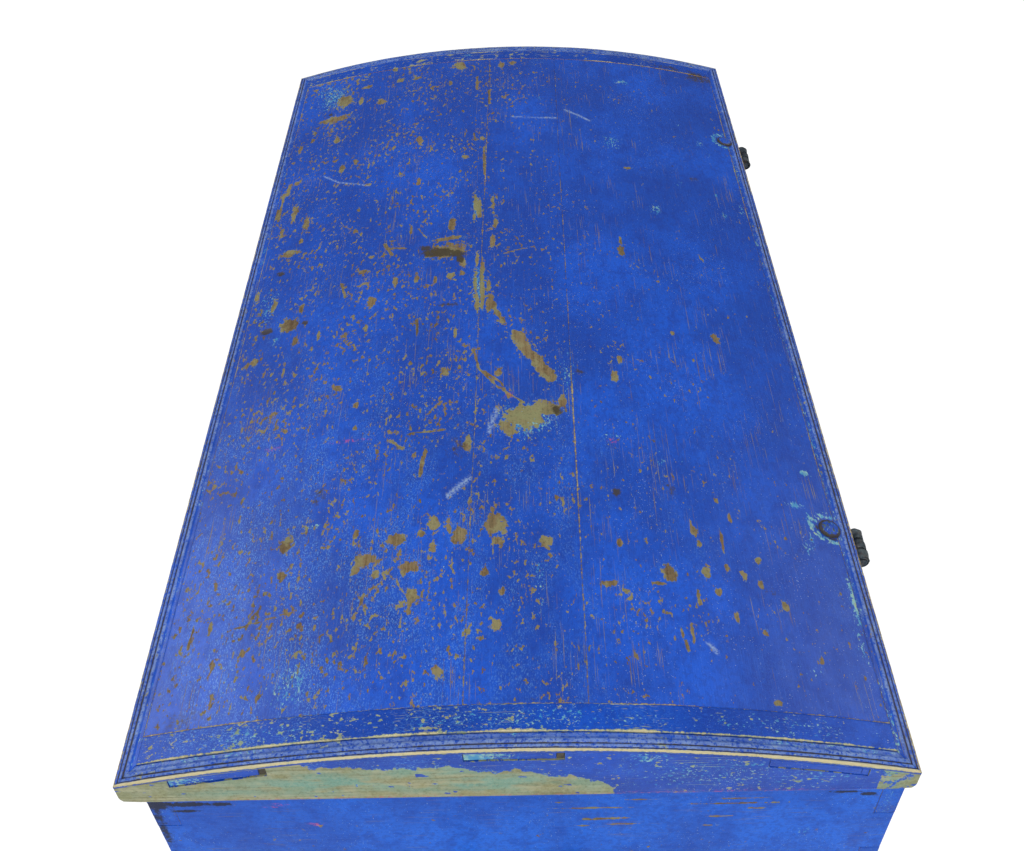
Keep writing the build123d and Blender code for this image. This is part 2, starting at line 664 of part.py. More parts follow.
plinth_top = PLINTH_HEIGHT - PLINTH_BEVEL


def plinth_side(face, out):
    """Section of a plinth board on a wall whose face is at the given place."""
    return [
        (face, 0),
        (face + out * PLINTH_THICK, 0),
        (face + out * PLINTH_THICK, plinth_top),
        (face + out * (PLINTH_THICK - PLINTH_BEVEL), PLINTH_HEIGHT),
        (face, PLINTH_HEIGHT),
    ]


long_x = END_X + PLINTH_THICK
front_out = FRONT_Y - PLINTH_THICK
back_out = BACK_Y + PLINTH_THICK
front_trim = [(-long_x, front_out), (long_x, front_out), (END_X, FRONT_Y), (-END_X, FRONT_Y)]
back_trim = [(-END_X, BACK_Y), (END_X, BACK_Y), (long_x, back_out), (-long_x, back_out)]
right_trim = [(END_X, FRONT_Y), (long_x, front_out), (long_x, back_out), (END_X, BACK_Y)]
plinth_front = prism_yz(plinth_side(FRONT_Y, -1), -long_x, long_x)
plinth_front = plinth_front & prism_xy(front_trim, 0, PLINTH_HEIGHT)
plinth_back = prism_yz(plinth_side(BACK_Y, 1), -long_x, long_x)
plinth_back = plinth_back & prism_xy(back_trim, 0, PLINTH_HEIGHT)
plinth_end = prism_xz(plinth_side(END_X, 1), front_out, back_out)
plinth_end = plinth_end & prism_xy(right_trim, 0, PLINTH_HEIGHT)
save(plinth_front, "plinth_front")
save(plinth_back, "plinth_back")
for node, shape in zip(("plinth_right", "plinth_left"), both_ends(plinth_end)):
    save(shape, node)
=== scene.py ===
"""Looks of the worn blue dome-top trunk.

Sizes are in millimetres and turn into Blender's metres in one place, when a mesh is made. X runs
along the trunk, the front is at -Y, the hinges are at +Y and z = 0 is the floor.
"""
import math

import bmesh
import bpy
import numpy as np
from mathutils import Matrix, Vector


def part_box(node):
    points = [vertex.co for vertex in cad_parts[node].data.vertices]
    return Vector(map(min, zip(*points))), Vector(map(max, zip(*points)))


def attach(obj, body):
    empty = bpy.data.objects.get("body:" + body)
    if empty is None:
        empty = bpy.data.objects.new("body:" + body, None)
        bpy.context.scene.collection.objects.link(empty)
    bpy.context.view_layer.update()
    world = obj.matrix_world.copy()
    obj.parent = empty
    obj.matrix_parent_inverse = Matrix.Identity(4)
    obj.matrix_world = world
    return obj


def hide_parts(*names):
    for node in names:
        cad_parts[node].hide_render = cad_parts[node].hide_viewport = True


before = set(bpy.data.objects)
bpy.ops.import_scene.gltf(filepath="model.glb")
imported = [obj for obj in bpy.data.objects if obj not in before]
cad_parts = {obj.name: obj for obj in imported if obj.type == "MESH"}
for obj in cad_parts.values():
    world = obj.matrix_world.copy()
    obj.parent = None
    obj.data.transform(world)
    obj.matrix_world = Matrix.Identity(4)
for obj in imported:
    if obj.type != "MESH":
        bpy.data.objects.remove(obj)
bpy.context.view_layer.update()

MM = 0.001

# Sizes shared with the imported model
HALF_L = 594.0
HALF_W = 320.0
TOP_Z = 560.0
RISE = 44.0
LID_Z = 488.3
RIM_Z = 488.0
CLAMP_X = 553.0
MOULD = 16.5
MOULD_DEPTH = 5.0
VAULT_HALF = 295.0
VAULT_RISE = 48.0
END_X = 581.5
FRONT_Y = -307.5
BACK_Y = 320.0
SEAM_FRONT = (-26.0, -41.0)
SEAM_BACK = (69.0, 59.0)
TENON_SPANS = ((-275.0, -195.0), (-40.0, 38.0), (198.0, 278.0))
TENON_COVER = 6.0
TENON_THICK = 10.0
TENON_WEDGE = 6.0
TENON_GAP = 0.2
TENON_ROOT = 11.0
MORTISE_GAP = 0.4
CUT_DEPTH = 12.0
CUT_PAST = 4.0
TENON_OLD = (1.1, 1.7, 0.2)
JOINT_GAP = 0.08
SEAM_GAP = 0.06
RIVETS = ((346.0, 298.0), (-365.5, 300.5))
RIVET_RECESS = 12.5
HALO_RADII = (14.6, 18.4)
CRISP_DEGREES = 50

ARCH_R = (HALF_W**2 + RISE**2) / (2 * RISE)
ARCH_Z = TOP_Z - ARCH_R
EDGE_Z = TOP_Z - RISE
VAULT_R = (VAULT_HALF**2 + VAULT_RISE**2) / (2 * VAULT_RISE)
VAULT_Z = LID_Z + VAULT_RISE - VAULT_R

# Camera that took the photograph, found from the lid's outline
CAMERA_PLACE = (1049.2, 11.5, 1339.6)
CAMERA_PITCH = 43.822
CAMERA_YAW = -0.768
CAMERA_ROLL = -1.737
CAMERA_FOCAL_PIXELS = 1138.85
IMAGE_WIDTH = 1024
SENSOR_WIDTH = 36.0

# Wear on the lid's top, as it lies in the photograph: x, y, half length, half width, turn if any
BARE_SPOTS = (
    (20, -158, 11, 5), (37, -251, 12, 10), (82, 224, 9, 5), (82, 177, 4, 2), (150, -69, 7, 4, 20),
    (161, -181, 6, 4, 40), (190, -160, 5, 3), (225, -158, 4, 3), (260, -43, 10, 4), (370, -208, 10, 6),
    (406, -207, 5, 4), (375, -167, 6, 2), (367, -143, 5, 3), (398, -133, 8, 9), (408, -140, 6, 4),
    (415, -121, 5, 4), (378, -105, 10, 7), (410, -92, 7, 9), (442, -87, 8, 5), (361, -72, 7, 6),
    (372, -83, 5, 4), (390, -71, 6, 4), (366, -58, 8, 3), (377, -48, 11, 7), (365, -15, 13, 10, 10),
    (385, -13, 6, 5), (420, -25, 6, 4), (441, -10, 5, 3), (476, -14, 6, 4), (521, -63, 7, 4, 30),
    (386, 31, 7, 6, 30), (402, 33, 4, 3), (433, 84, 4, 7), (387, 96, 5, 3), (419, 138, 9, 6, 15),
    (431, 127, 2, 6), (383, 120, 4, 2), (398, 220, 5, 3), (422, 218, 4, 2), (436, 178, 5, 3),
    (92, -284, 8, 4), (68, -240, 8, 3), (65, -160, 8, 2), (65, -213, 9, 2), (-510, -208, 5, 6),
    (-470, -213, 10, 4), (-478, -238, 17, 11, 10), (-430, -246, 9, 22), (-513, -158, 6, 6),
    (-550, -168, 6, 4), (-513, -133, 5, 6), (-458, -182, 9, 6, 20), (-538, -70, 13, 11), (-533, -10, 8, 5),
    (-540, 8, 6, 5), (-485, -83, 10, 2), (-478, -44, 18, 2.4), (-330, -120, 14, 4, 6), (-370, -239, 9, 4),
    (-383, -275, 6, 3), (-288, -223, 11, 4), (-275, -283, 5, 3), (-323, -35, 5, 3), (-278, -58, 6, 5),
    (-165, -42, 28, 2.4), (-150, -36, 20, 2.2), (-134, -43, 12, 2), (-163, -20, 18, 2.6),
    (-122, -17, 14, 3.2), (-83, -20, 15, 3), (-93, -70, 4, 20, 8), (-123, -70, 15, 4), (-168, -258, 16, 4),
    (-203, -277, 20, 4), (-163, -288, 12, 3), (-110, -272, 7, 12), (-133, -260, 5, 3), (-68, 132, 11, 4),
    (-68, 228, 8, 2, 20), (-255, 155, 3, 6), (-15, -133, 8, 3), (-18, -108, 10, 3), (-18, -68, 6, 5),
    (-20, -55, 5, 3), (-13, -86, 10, 2), (-70, -165, 4, 3), (-43, -173, 4, 5), (-225, -116, 10, 3),
    (-250, -141, 3, 3), (-235, -183, 3, 5), (-178, -190, 5, 2), (-133, -190, 5, 3), (-123, -182, 5, 2),
    (-45, -38, 16, 2.6), (-20, -32, 28, 2.8), (0, -40, 22, 2.2), (24, -31, 30, 2.6), (38, -37, 18, 2.4),
    (44, -24, 16, 2.2), (6, -24, 12, 2.4), (424, 218, 4, 2.6), (416, 204, 5, 3), (447, 236, 5, 3.4),
    (463, 191, 6, 2.4), (408, 190, 4, 2.4), (377, 190, 14, 1.5), (416, 170, 6, 4), (369, 166, 7, 2.4),
    (349, 201, 6, 1.8), (328, 191, 4, 2), (385, 168, 5, 2.6), (-207, -303, 12, 3), (-263, -293, 16, 3),
    (-364, -291, 12, 3), (-30, -300, 9, 3), (477, 213, 5, 3), (501, 257, 8, 2), (445, 160, 9, 2),
    (482, 150, 12, 2), (132, 115, 8, 3), (160, 108, 10, 4), (155, -13, 10, 4, -20), (225, 12, 17, 20),
    (212, 36, 12, 14), (203, 52, 12, 5), (240, -2, 8, 8), (545, 212, 3, 4), (-68, -75, 13, 24, 18),
    (-44, -55, 9, 4), (452, -265, 8, 2), (88, -60, 10, 2), (60, -80, 6, 2), (-298, -205, 8, 3, 10),
    (-118, -120, 9, 2), (10, -240, 10, 3), (-5, -275, 12, 3),
)

# Scratches through to the wood: half width, then the points that each one runs through
BARE_SCRATCHES = (
    (7.0, ((95, 7), (122, 18), (138, 27), (166, 41))),
    (3.0, ((25, -22), (45, -18), (72, -8))),
    (1.3, ((115, -40), (150, -33), (178, -14), (203, 12))),
    (1.2, ((153, -28), (172, -10), (196, -2))),
    (1.6, ((241, -103), (238, -66))),
    (1.8, ((247, -120), (262, -106))),
    (2.2, ((265, -84), (300, -88))),
    (1.6, ((60, -103), (88, -102))),
    (1.3, ((475, 140), (502, 145))),
    (1.5, ((440, -280), (472, -282))),
    (1.4, ((459, -248), (454, -220), (448, -196))),
    (1.0, ((-258, -45), (-208, -68), (-163, -93), (-118, -111), (-98, -100))),
    (1.4, ((-95, 133), (-76, 131))),
    (1.3, ((-55, -8), (-62, 8), (-68, 26))),
    (2.2, ((-93, -150), (-70, -140))),
    (1.8, ((-85, -147), (-80, -124))),
    (2.0, ((-25, -196), (2, -190))),
    (1.6, ((-340, -47), (-318, -44))),
    (1.6, ((-300, -33), (-232, -31))),
    (1.8, ((-255, -299), (-190, -297))),
    (1.0, ((300, 42), (352, 41))),
    (0.9, ((300, 165), (372, 163))),
    (0.9, ((100, 165), (168, 166))),
    (1.6, ((-458, -27), (-418, -26))),
)

# Older turquoise paint showing through as a net of flecks: x, y, half length, half width, amount
OLD_PAINT = (
    (-163, 183, 14, 9, 1.0), (-318, 140, 22, 15, 0.8), (-493, 165, 9, 15, 0.9), (-430, 45, 7, 5, 0.9),
    (-388, 235, 5, 5, 0.9), (-283, 72, 16, 9, 0.5), (-228, 220, 12, 6, 0.7), (-215, 267, 9, 4, 0.9),
    (-173, 272, 9, 4, 0.9), (-193, 297, 26, 4, 0.8), (-283, 304, 22, 3, 0.8), (-93, 73, 7, 3, 1.0),
    (-173, -151, 6, 4, 0.9), (-530, -272, 40, 22, 0.7), (-540, -215, 30, 12, 0.5), (-545, 45, 26, 20, 0.4),
    (522, -185, 26, 24, 0.75), (512, -237, 22, 12, 0.6), (415, -190, 22, 14, 0.45), (440, 24, 45, 9, 0.55),
    (470, 65, 26, 5, 0.4), (376, 270, 12, 5, 0.8), (322, 268, 5, 8, 1.5), (276, 287, 5, 5, 1.9),
    (430, 302, 36, 3, 1.3), (480, 297, 30, 3, 1.0), (512, 250, 12, 8, 0.5), (282, 144, 8, 6, 0.9),
    (250, 97, 4, 14, 0.8), (352, -185, 4, 11, 0.9), (566, 5, 15, 150, 0.6), (566, -205, 12, 60, 0.65),
    (566, 200, 12, 90, 0.6), (165, 57, 42, 12, 0.6), (125, 58, 12, 8, 0.6), (-8, -284, 40, 16, 0.75),
    (60, -262, 14, 6, 0.7), (-330, -268, 16, 8, 0.5), (228, 14, 26, 34, 1.1), (5, -36, 46, 9, 1.0),
    (-155, -40, 36, 7, 1.0), (340, 279, 14, 3, 1.4), (364, 277, 12, 3, 1.1), (-500, -255, 45, 30, 0.9),
    (-385, 95, 15, 3, 0.7), (30, -216, 16, 6, 0.5), (450, 300, 60, 4, 0.5), (-345, 262, 12, 7, 0.8),
    (-318, 272, 10, 5, 0.7), (72, 117, 3, 12, 0.6), (500, 60, 50, 22, 0.3), (430, -60, 60, 30, 0.25),
    (-570, -60, 5, 9, 0.9), (-583, -225, 5, 8, 0.9),
)

# Pale scratches in the blue that don't reach the wood: half width and points
PALE_SCRATCHES = (
    (1.8, ((212, -14), (228, -19), (244, -22))),
    (2.2, ((328, -60), (318, -52), (306, -40))),
    (1.0, ((-278, -248), (-253, -222), (-233, -182))),
    (1.6, ((-398, 80), (-386, 96), (-372, 112))),
    (1.3, ((492, 163), (500, 168))),
    (1.2, ((-378, 5), (-376, 65))),
)

# Darker smudges and gouges, and red paint: x, y, half length, half width, strength
DARK_MARKS = (
    (-66, -84, 9, 22, 1.25), (-60, -63, 6, 12, 1.1), (-50, -58, 9, 5, 1.1), (-76, -100, 7, 8, 0.9),
    (325, 97, 7, 4, 0.9), (40, -277, 6, 8, 1.0), (37, -233, 4, 5, 1.0), (-448, -256, 5, 4, 0.7),
    (-247, 240, 6, 7, 0.5), (-273, 215, 4, 4, 0.5), (315, -185, 20, 14, 0.35), (262, -52, 20, 16, 0.35),
    (155, 72, 4, 7, 0.6), (214, 46, 9, 8, 0.7), (543, -270, 14, 24, 0.35), (-547, 285, 22, 26, 0.6),
    (-560, 240, 14, 30, 0.4), (317, 149, 14, 8, 0.4), (-70, -277, 5, 5, 1.0), (36, -70, 4, 18, 0.5),
    (430, 228, 10, 10, 0.3), (130, 30, 10, 5, 0.3),
)

RED_MARKS = ((190, -3, 6, 4, 1.0), (257, 98, 4, 3, 1.0), (238, -240, 2, 9, 0.8), (242, -160, 2, 20, 0.7))

# Older turquoise on the lid's ends: y, height from the arch's ends, half sizes, amount
END_TURQUOISE = (
    (-150, -2, 80, 18, 1.0), (-20, -6, 100, 16, 0.9), (-70, 14, 60, 10, 0.8), (150, 3, 90, 30, 0.62),
    (0, 34, 45, 7, 1.0), (-235, 8, 45, 7, 0.6), (235, -6, 60, 22, 0.6), (105, 28, 20, 10, 0.9),
    (190, 14, 50, 6, 0.8), (300, -2, 14, 22, 1.0), (-230, -14, 40, 8, 0.6),
)

# Lower limit of the blue paint that is left on the lid's near end: y, height from the arch's ends
END_PAINT_EDGE = (
    (-320, 40), (-185, 36), (-170, 31), (-160, 21), (-128, 22), (-98, 17), (-60, 20), (-42, 21),
    (-33, 12), (-15, 10), (0, 17), (14, 8), (28, 2), (44, 3), (56, -5), (68, -5), (76, -13),
    (80, -30), (320, -30),
)


def arch_z(y):
    return ARCH_Z + np.sqrt(ARCH_R**2 - np.square(y))


def vault_z(y):
    return VAULT_Z + np.sqrt(VAULT_R**2 - np.square(y))


def lattice_value(cell, seed):
    """A repeatable random number from 0 to 1 for each whole-numbered lattice corner."""
    i, j, k = (cell[..., axis].astype(np.int64) for axis in range(3))
    mixed = (i * 73856093) ^ (j * 19349663) ^ (k * 83492791) ^ (seed * 2654435761)
    mixed = (mixed ^ (mixed >> 13)) * 1274126177
    mixed = mixed & 0xFFFFFFFF
    mixed = mixed ^ (mixed >> 16)
    return (mixed & 0xFFFFFF) / float(0xFFFFFF)


def lumps(points, size, seed):
    """Smooth noise from 0 to 1 with lumps of the given size along each axis."""
    place = points / np.asarray(size, dtype=float)
    cell = np.floor(place)
    part = place - cell
    part = part * part * (3 - 2 * part)
    total = np.zeros(len(points))
    for corner in np.ndindex(2, 2, 2):
        step = np.array(corner)
        weight = np.prod(np.where(step == 1, part, 1 - part), axis=1)
        total += weight * lattice_value(cell + step, seed)
    return total


def rough(points, size, seed):
    """Two octaves of lumps, from about -1 to 1."""
    size = np.broadcast_to(np.asarray(size, dtype=float), (3,))
    coarse = lumps(points, size, seed)
    fine = lumps(points, size / 2.3, seed + 7)
    return (coarse * 0.65 + fine * 0.35) * 2 - 1


def full_or_quick(full):
    return full


def placed(name, data):
    """A new object in the scene."""
    thing = bpy.data.objects.new(name, data)
    bpy.context.scene.collection.objects.link(thing)
    return thing


def new_piece(name, verts, faces, body, material, fields, smooth=True):
    """A mesh piece from millimetre vertices, riding on a body, with one value per vertex for each field."""
    mesh = bpy.data.meshes.new(name)
    mesh.from_pydata((np.asarray(verts) * MM).tolist(), [], faces)
    mesh.update()
    piece = placed(name, mesh)
    for field, values in fields.items():
        layer = mesh.attributes.new(field, "FLOAT", "POINT")
        layer.data.foreach_set("value", np.asarray(values, dtype=np.float32))
    mesh.polygons.foreach_set("use_smooth", [smooth] * len(mesh.polygons))
    mesh.materials.append(material)
    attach(piece, body)
    return piece


def outward(piece):
    """Turns all faces of a closed piece outwards."""
    shell = bmesh.new()
    shell.from_mesh(piece.data)
    bmesh.ops.recalc_face_normals(shell, faces=shell.faces)
    shell.to_mesh(piece.data)
    shell.free()


def crisp(piece):
    """Turns a closed piece's faces outwards and keeps its sharp corners out of the smooth shading."""
    outward(piece)
    piece.data.set_sharp_from_angle(angle=math.radians(CRISP_DEGREES))


def pine_faces(piece, material, chosen):
    """Gives the chosen faces the bare wood of the trunk's inside."""
    piece.data.materials.append(material)
    for face in piece.data.polygons:
        if chosen(face):
            face.material_index = 1


def loft(rings):
    """Vertices and faces of a closed solid through rings of points, with a flat cap at each end."""
    count, around = rings.shape[:2]
    verts = rings.reshape(-1, 3)
    start = np.arange(count - 1)[:, None] * around
    near = np.arange(around)[None, :]
    far = (near + 1) % around
    quads = np.stack([start + near, start + far, start + around + far, start + around + near], -1)
    faces = quads.reshape(-1, 4).tolist()
    faces.append(list(range(around))[::-1])
    faces.append([(count - 1) * around + i for i in range(around)])
    return verts, faces


def spaced(start, end, step, finer=()):
    """Even places from start to end, with extra ones at the given distances from both ends."""
    count = max(2, int(round(abs(end - start) / step)) + 1)
    places = set(np.linspace(start, end, count)[1:-1].tolist())
    way = 1.0 if end > start else -1.0
    margin = max(finer) if finer else 0.0
    inner = {p for p in places if abs(p - start) > margin + 0.4 and abs(end - p) > margin + 0.4}
    edges = {start, end}
    for distance in finer:
        edges |= {start + way * distance, end - way * distance}
    return np.array(sorted(inner | edges, reverse=way < 0))


# Materials


class Nodes:
    """Short names for building one material's node tree."""

    def __init__(self, name):
        self.material = bpy.data.materials.new(name)
        self.material.use_nodes = True
        self.tree = self.material.node_tree
        self.tree.nodes.clear()
        self.output = self.tree.nodes.new("ShaderNodeOutputMaterial")
        self.place = self.tree.nodes.new("ShaderNodeTexCoord").outputs["Object"]

    def feed(self, socket, value):
        if isinstance(value, bpy.types.NodeSocket):
            self.tree.links.new(value, socket)
        elif value is not None:
            socket.default_value = value

    def math(self, operation, first, second=None, clamp=False):
        node = self.tree.nodes.new("ShaderNodeMath")
        node.operation = operation
        node.use_clamp = clamp
        self.feed(node.inputs[0], first)
        self.feed(node.inputs[1], second)
        return node.outputs[0]

    def add(self, first, second):
        return self.math("ADD", first, second)

    def times(self, first, second):
        return self.math("MULTIPLY", first, second)
    def most(self, first, second):
        return self.math("MAXIMUM", first, second)

    def sway(self, value, amount):
        """A noise of 0 to 1 centred on zero and multiplied."""
        return self.times(self.add(value, -0.5), amount)
    def field(self, name):
        node = self.tree.nodes.new("ShaderNodeAttribute")
        node.attribute_name = name
        return node.outputs["Fac"]

    def noise(self, size, detail=2.0, roughness=0.5, seed=0.0):
        """Noise whose lumps have the given size in millimetres along x, y and z."""
        node = self.tree.nodes.new("ShaderNodeMapping")
        self.feed(node.inputs["Vector"], self.place)
        node.inputs["Scale"].default_value = [1 / (s * MM) for s in size]
        node.inputs["Location"].default_value = (seed * 3.17, seed * 5.31, seed * 1.73)
        texture = self.tree.nodes.new("ShaderNodeTexNoise")
        self.feed(texture.inputs["Vector"], node.outputs[0])
        texture.inputs["Scale"].default_value = 1.0
        texture.inputs["Detail"].default_value = detail
        texture.inputs["Roughness"].default_value = roughness
        return texture.outputs["Fac"]

    def step(self, value, low, high):
        """0 below low, 1 above high and smooth between."""
        node = self.tree.nodes.new("ShaderNodeMapRange")
        node.interpolation_type = "SMOOTHSTEP"
        self.feed(node.inputs["Value"], value)
        self.feed(node.inputs["From Min"], low)
        self.feed(node.inputs["From Max"], high)
        return node.outputs["Result"]
    def past(self, value, limit, width):
        """0 up to a limit, and 1 from a width above it."""
        return self.step(self.math("SUBTRACT", value, limit), 0.0, width)
    def mix(self, factor, first, second):
        node = self.tree.nodes.new("ShaderNodeMix")
        node.data_type = "RGBA"
        self.feed(node.inputs["Factor"], factor)
        self.feed(node.inputs["A"], first)
        self.feed(node.inputs["B"], second)
        return node.outputs["Result"]

    def blend(self, factor, first, second):
        """A number between two numbers."""
        node = self.tree.nodes.new("ShaderNodeMix")
        node.data_type = "FLOAT"
        self.feed(node.inputs["Factor"], factor)
        self.feed(node.inputs["A"], first)
        self.feed(node.inputs["B"], second)
        return node.outputs["Result"]

    def over(self, under, colour, value, low, high, amount):
        """A colour laid over another by an amount, as a value goes from low to high."""
        return self.mix(self.times(self.step(value, low, high), amount), under, colour)
    def finish(self, colour, roughness, height, metallic=0.0, specular=0.5):
        """The surface: colour, roughness and a relief whose height is in millimetres."""
        shader = self.tree.nodes.new("ShaderNodeBsdfPrincipled")
        self.feed(shader.inputs["Base Color"], colour)
        self.feed(shader.inputs["Roughness"], roughness)
        self.feed(shader.inputs["Metallic"], metallic)
        shader.inputs["Specular IOR Level"].default_value = specular
        bump = self.tree.nodes.new("ShaderNodeBump")
        bump.inputs["Strength"].default_value = 1.0
        bump.inputs["Distance"].default_value = MM
        self.feed(bump.inputs["Height"], height)
        self.feed(shader.inputs["Normal"], bump.outputs["Normal"])
        self.tree.links.new(shader.outputs[0], self.output.inputs["Surface"])
        return self.material


def tone(red, green, blue):
    """A shader colour from screen values of 0 to 255."""
    linear = [((c / 255 + 0.055) / 1.055) ** 2.4 if c > 10 else c / 3294.6 for c in (red, green, blue)]
    return (*linear, 1.0)


def tones(*triples):
    return tuple(tone(*triple) for triple in triples)


LID_WOOD = tones((54, 44, 32), (100, 78, 50), (122, 104, 74))


def along_grain(across, length, along):
    """Lump sizes of a noise that is drawn out along one axis."""
    size = [across] * 3
    size[along] = length
    return size


def wood_colours(nodes, along, dark, mid, light, seed):
    """Grain running along one axis: colour and relief."""
    bands = nodes.noise(along_grain(4.0, 140.0, along), 3.0, 0.6, seed)
    fibre = nodes.noise(along_grain(0.7, 26.0, along), 2.0, 0.6, seed + 3)
    cloud = nodes.noise((60, 60, 60), 2.0, 0.5, seed + 5)
    base = nodes.mix(nodes.step(bands, 0.38, 0.66), light, mid)
    base = nodes.over(base, dark, fibre, 0.45, 0.75, 0.6)
    base = nodes.over(base, dark, cloud, 0.45, 0.75, 0.45)
    relief = nodes.add(nodes.times(fibre, 0.18), nodes.times(bands, 0.12))
    return base, relief


def painted_wood(name, along, seed, wood=LID_WOOD, rub_bias=0.0, old_bias=0.0, specular=0.25,
                 blues=((2, 58, 152), (5, 75, 184)), dark_tone=(54, 47, 32), stain=(122, 126, 88)):
    """Ultramarine paint over older turquoise over bare wood, worn through where the fields say."""
    n = Nodes(name)
    edge_noise = n.noise((8.5, 7, 7), 3.0, 0.65, seed)
    ragged = n.noise((2.4, 2.4, 2.4), 2.0, 0.6, seed + 1)
    bare_mm = n.add(n.field("bare"), n.add(n.sway(edge_noise, 20.0), n.sway(ragged, 2.6)))
    bare = n.step(bare_mm, -0.25, 0.35)

    flecks = n.noise(along_grain(2.2, 8.5, along), 3.0, 0.62, seed + 2)
    patchy = n.noise((90, 70, 70), 2.0, 0.5, seed + 4)
    rub = n.add(n.add(n.field("rub"), rub_bias), n.sway(patchy, 0.9))
    fleck = n.past(flecks, n.add(0.735, n.times(rub, -0.115)), 0.02)
    chips = n.noise(along_grain(4.6, 7.5, along), 3.0, 0.6, seed + 22)
    gather = n.noise((55, 40, 40), 3.0, 0.6, seed + 23)
    chip_limit = n.add(n.add(0.845, n.times(rub, -0.12)), n.times(gather, -0.33))
    fleck = n.most(fleck, n.past(chips, chip_limit, 0.015))

    hairs = n.noise(along_grain(0.8, 55.0, along), 1.0, 0.5, seed + 6)
    hair_gate = n.noise((70, 50, 50), 1.0, 0.5, seed + 8)
    hair = n.step(n.add(hairs, n.sway(hair_gate, 0.42)), 0.715, 0.76)

    arris_mm = n.add(n.add(n.field("arris"), n.sway(ragged, 3.0)), n.sway(edge_noise, 2.6))
    arris = n.step(arris_mm, -0.2, 0.25)

    old_noise = n.noise(along_grain(2.3, 3.6, along), 4.0, 0.7, seed + 9)
    old_gate = n.noise((30, 26, 26), 2.0, 0.5, seed + 10)
    old_amount = n.add(n.add(n.field("old"), old_bias), n.times(n.add(old_gate, -0.55), 0.55))
    old = n.past(old_noise, n.add(0.70, n.times(old_amount, -0.23)), 0.05)
    halo = n.times(n.step(bare_mm, -2.4, -0.2), n.step(ragged, 0.42, 0.62))
    old = n.most(n.times(old, 0.85), n.times(halo, 0.22))
    # Pale blue specks: dust, and a painted sheen that the top's field makes densest towards the lid's near
    # front corner
    cloud = n.noise((70, 30, 30), 3.0, 0.6, seed + 24)
    specks = n.noise(along_grain(1.1, 2.2, along), 3.0, 0.7, seed + 25)
    dust_and_sheen = n.times(n.step(n.add(cloud, n.times(n.field("dust_and_sheen"), 0.16)), 0.52, 0.74), n.field("dust_and_sheen"))
    dust_and_sheen = n.times(dust_and_sheen, n.step(specks, 0.52, 0.62))

    dots = n.noise((1.25, 1.25, 1.25), 1.0, 0.5, seed + 11)
    dot = n.step(n.add(dots, n.sway(patchy, 0.22)), 0.745, 0.77)

    slow = n.noise((150, 110, 110), 3.0, 0.55, seed + 12)
    smudge = n.noise((22, 16, 16), 3.0, 0.6, seed + 13)
    mottle = n.noise((5.5, 4.0, 4.0), 3.0, 0.65, seed + 20)
    brush = n.noise(along_grain(0.9, 34.0, along), 2.0, 0.6, seed + 14)
    grain = n.noise((0.9, 0.9, 0.9), 2.0, 0.7, seed + 15)
    blue = n.mix(n.step(slow, 0.35, 0.68), tone(*blues[0]), tone(*blues[1]))
    blue = n.over(blue, tone(3, 42, 132), smudge, 0.46, 0.66, 0.36)
    blue = n.over(blue, tone(6, 46, 126), mottle, 0.46, 0.62, 0.36)
    blue = n.over(blue, tone(40, 96, 200), brush, 0.52, 0.78, 0.30)
    blue = n.over(blue, tone(38, 92, 184), grain, 0.54, 0.72, 0.40)
    blue = n.over(blue, tone(6, 32, 100), grain, 0.46, 0.28, 0.40)

    old_tone = n.noise((9, 7, 7), 2.0, 0.6, seed + 16)
    turquoise = n.mix(n.step(old_tone, 0.40, 0.62), tone(58, 130, 168), tone(126, 170, 160))
    turquoise = n.mix(n.step(old_tone, 0.62, 0.70), turquoise, tone(158, 172, 112))

    timber, relief = wood_colours(n, along, *wood, seed + 17)
    hue = n.noise((20, 16, 16), 3.0, 0.6, seed + 18)
    timber = n.over(timber, tone(126, 124, 88), hue, 0.47, 0.60, 0.65)
    stained = n.noise((34, 42, 14), 3.0, 0.6, seed + 19)
    stained = n.times(n.step(stained, 0.36, 0.58), n.add(n.times(n.field("old"), 0.66), 0.10))
    timber = n.mix(stained, timber, tone(*stain))
    weathered = n.noise((3.2, 3.2, 3.2), 4.0, 0.75, seed + 21)
    timber = n.over(timber, wood[2], weathered, 0.50, 0.66, 0.45)
    timber = n.over(timber, wood[0], weathered, 0.48, 0.34, 0.40)
    timber = n.over(timber, tone(204, 188, 148), arris_mm, 0.1, 1.5, 0.6)

    through = n.most(n.most(bare, n.most(fleck, n.times(hair, 0.8))), arris)
    # Dust and painted sheen laid on as pale blue specks
    colour = n.mix(n.times(dust_and_sheen, 0.55), blue, tone(96, 148, 204))
    colour = n.mix(old, colour, turquoise)
    colour = n.mix(n.times(dot, 0.85), colour, tone(150, 164, 158))
    colour = n.mix(through, colour, timber)
    # Paler paint: real pale scratches on the top, and painted highlights on the moulding reeds
    pale = n.times(n.field("pale"), n.step(ragged, 0.34, 0.56))
    colour = n.mix(pale, colour, tone(126, 148, 182))
    red = n.times(n.field("red"), n.step(old_noise, 0.50, 0.60))
    colour = n.mix(n.times(red, 0.85), colour, tone(190, 62, 84))
    # Darker marks: real gouges, smudges and chips, dirt and painted shade in the moulding grooves, and
    # painted shade round the rivets
    dark_and_shade = n.add(n.add(n.field("dark"), n.sway(ragged, 0.7)), n.sway(edge_noise, 1.3))
    colour = n.over(colour, tone(*dark_tone), dark_and_shade, 0.25, 0.70, 0.92)

    height = n.times(n.math("SUBTRACT", 1.0, through, clamp=True), 0.14)
    for value, amount in ((brush, 0.10), (grain, 0.05), (n.times(relief, through), 0.9), (smudge, 0.30)):
        height = n.add(height, n.times(value, amount))
    gloss = n.blend(through, n.add(0.27, n.times(smudge, 0.20)), 0.78)
    return n.finish(colour, gloss, height, specular=specular)


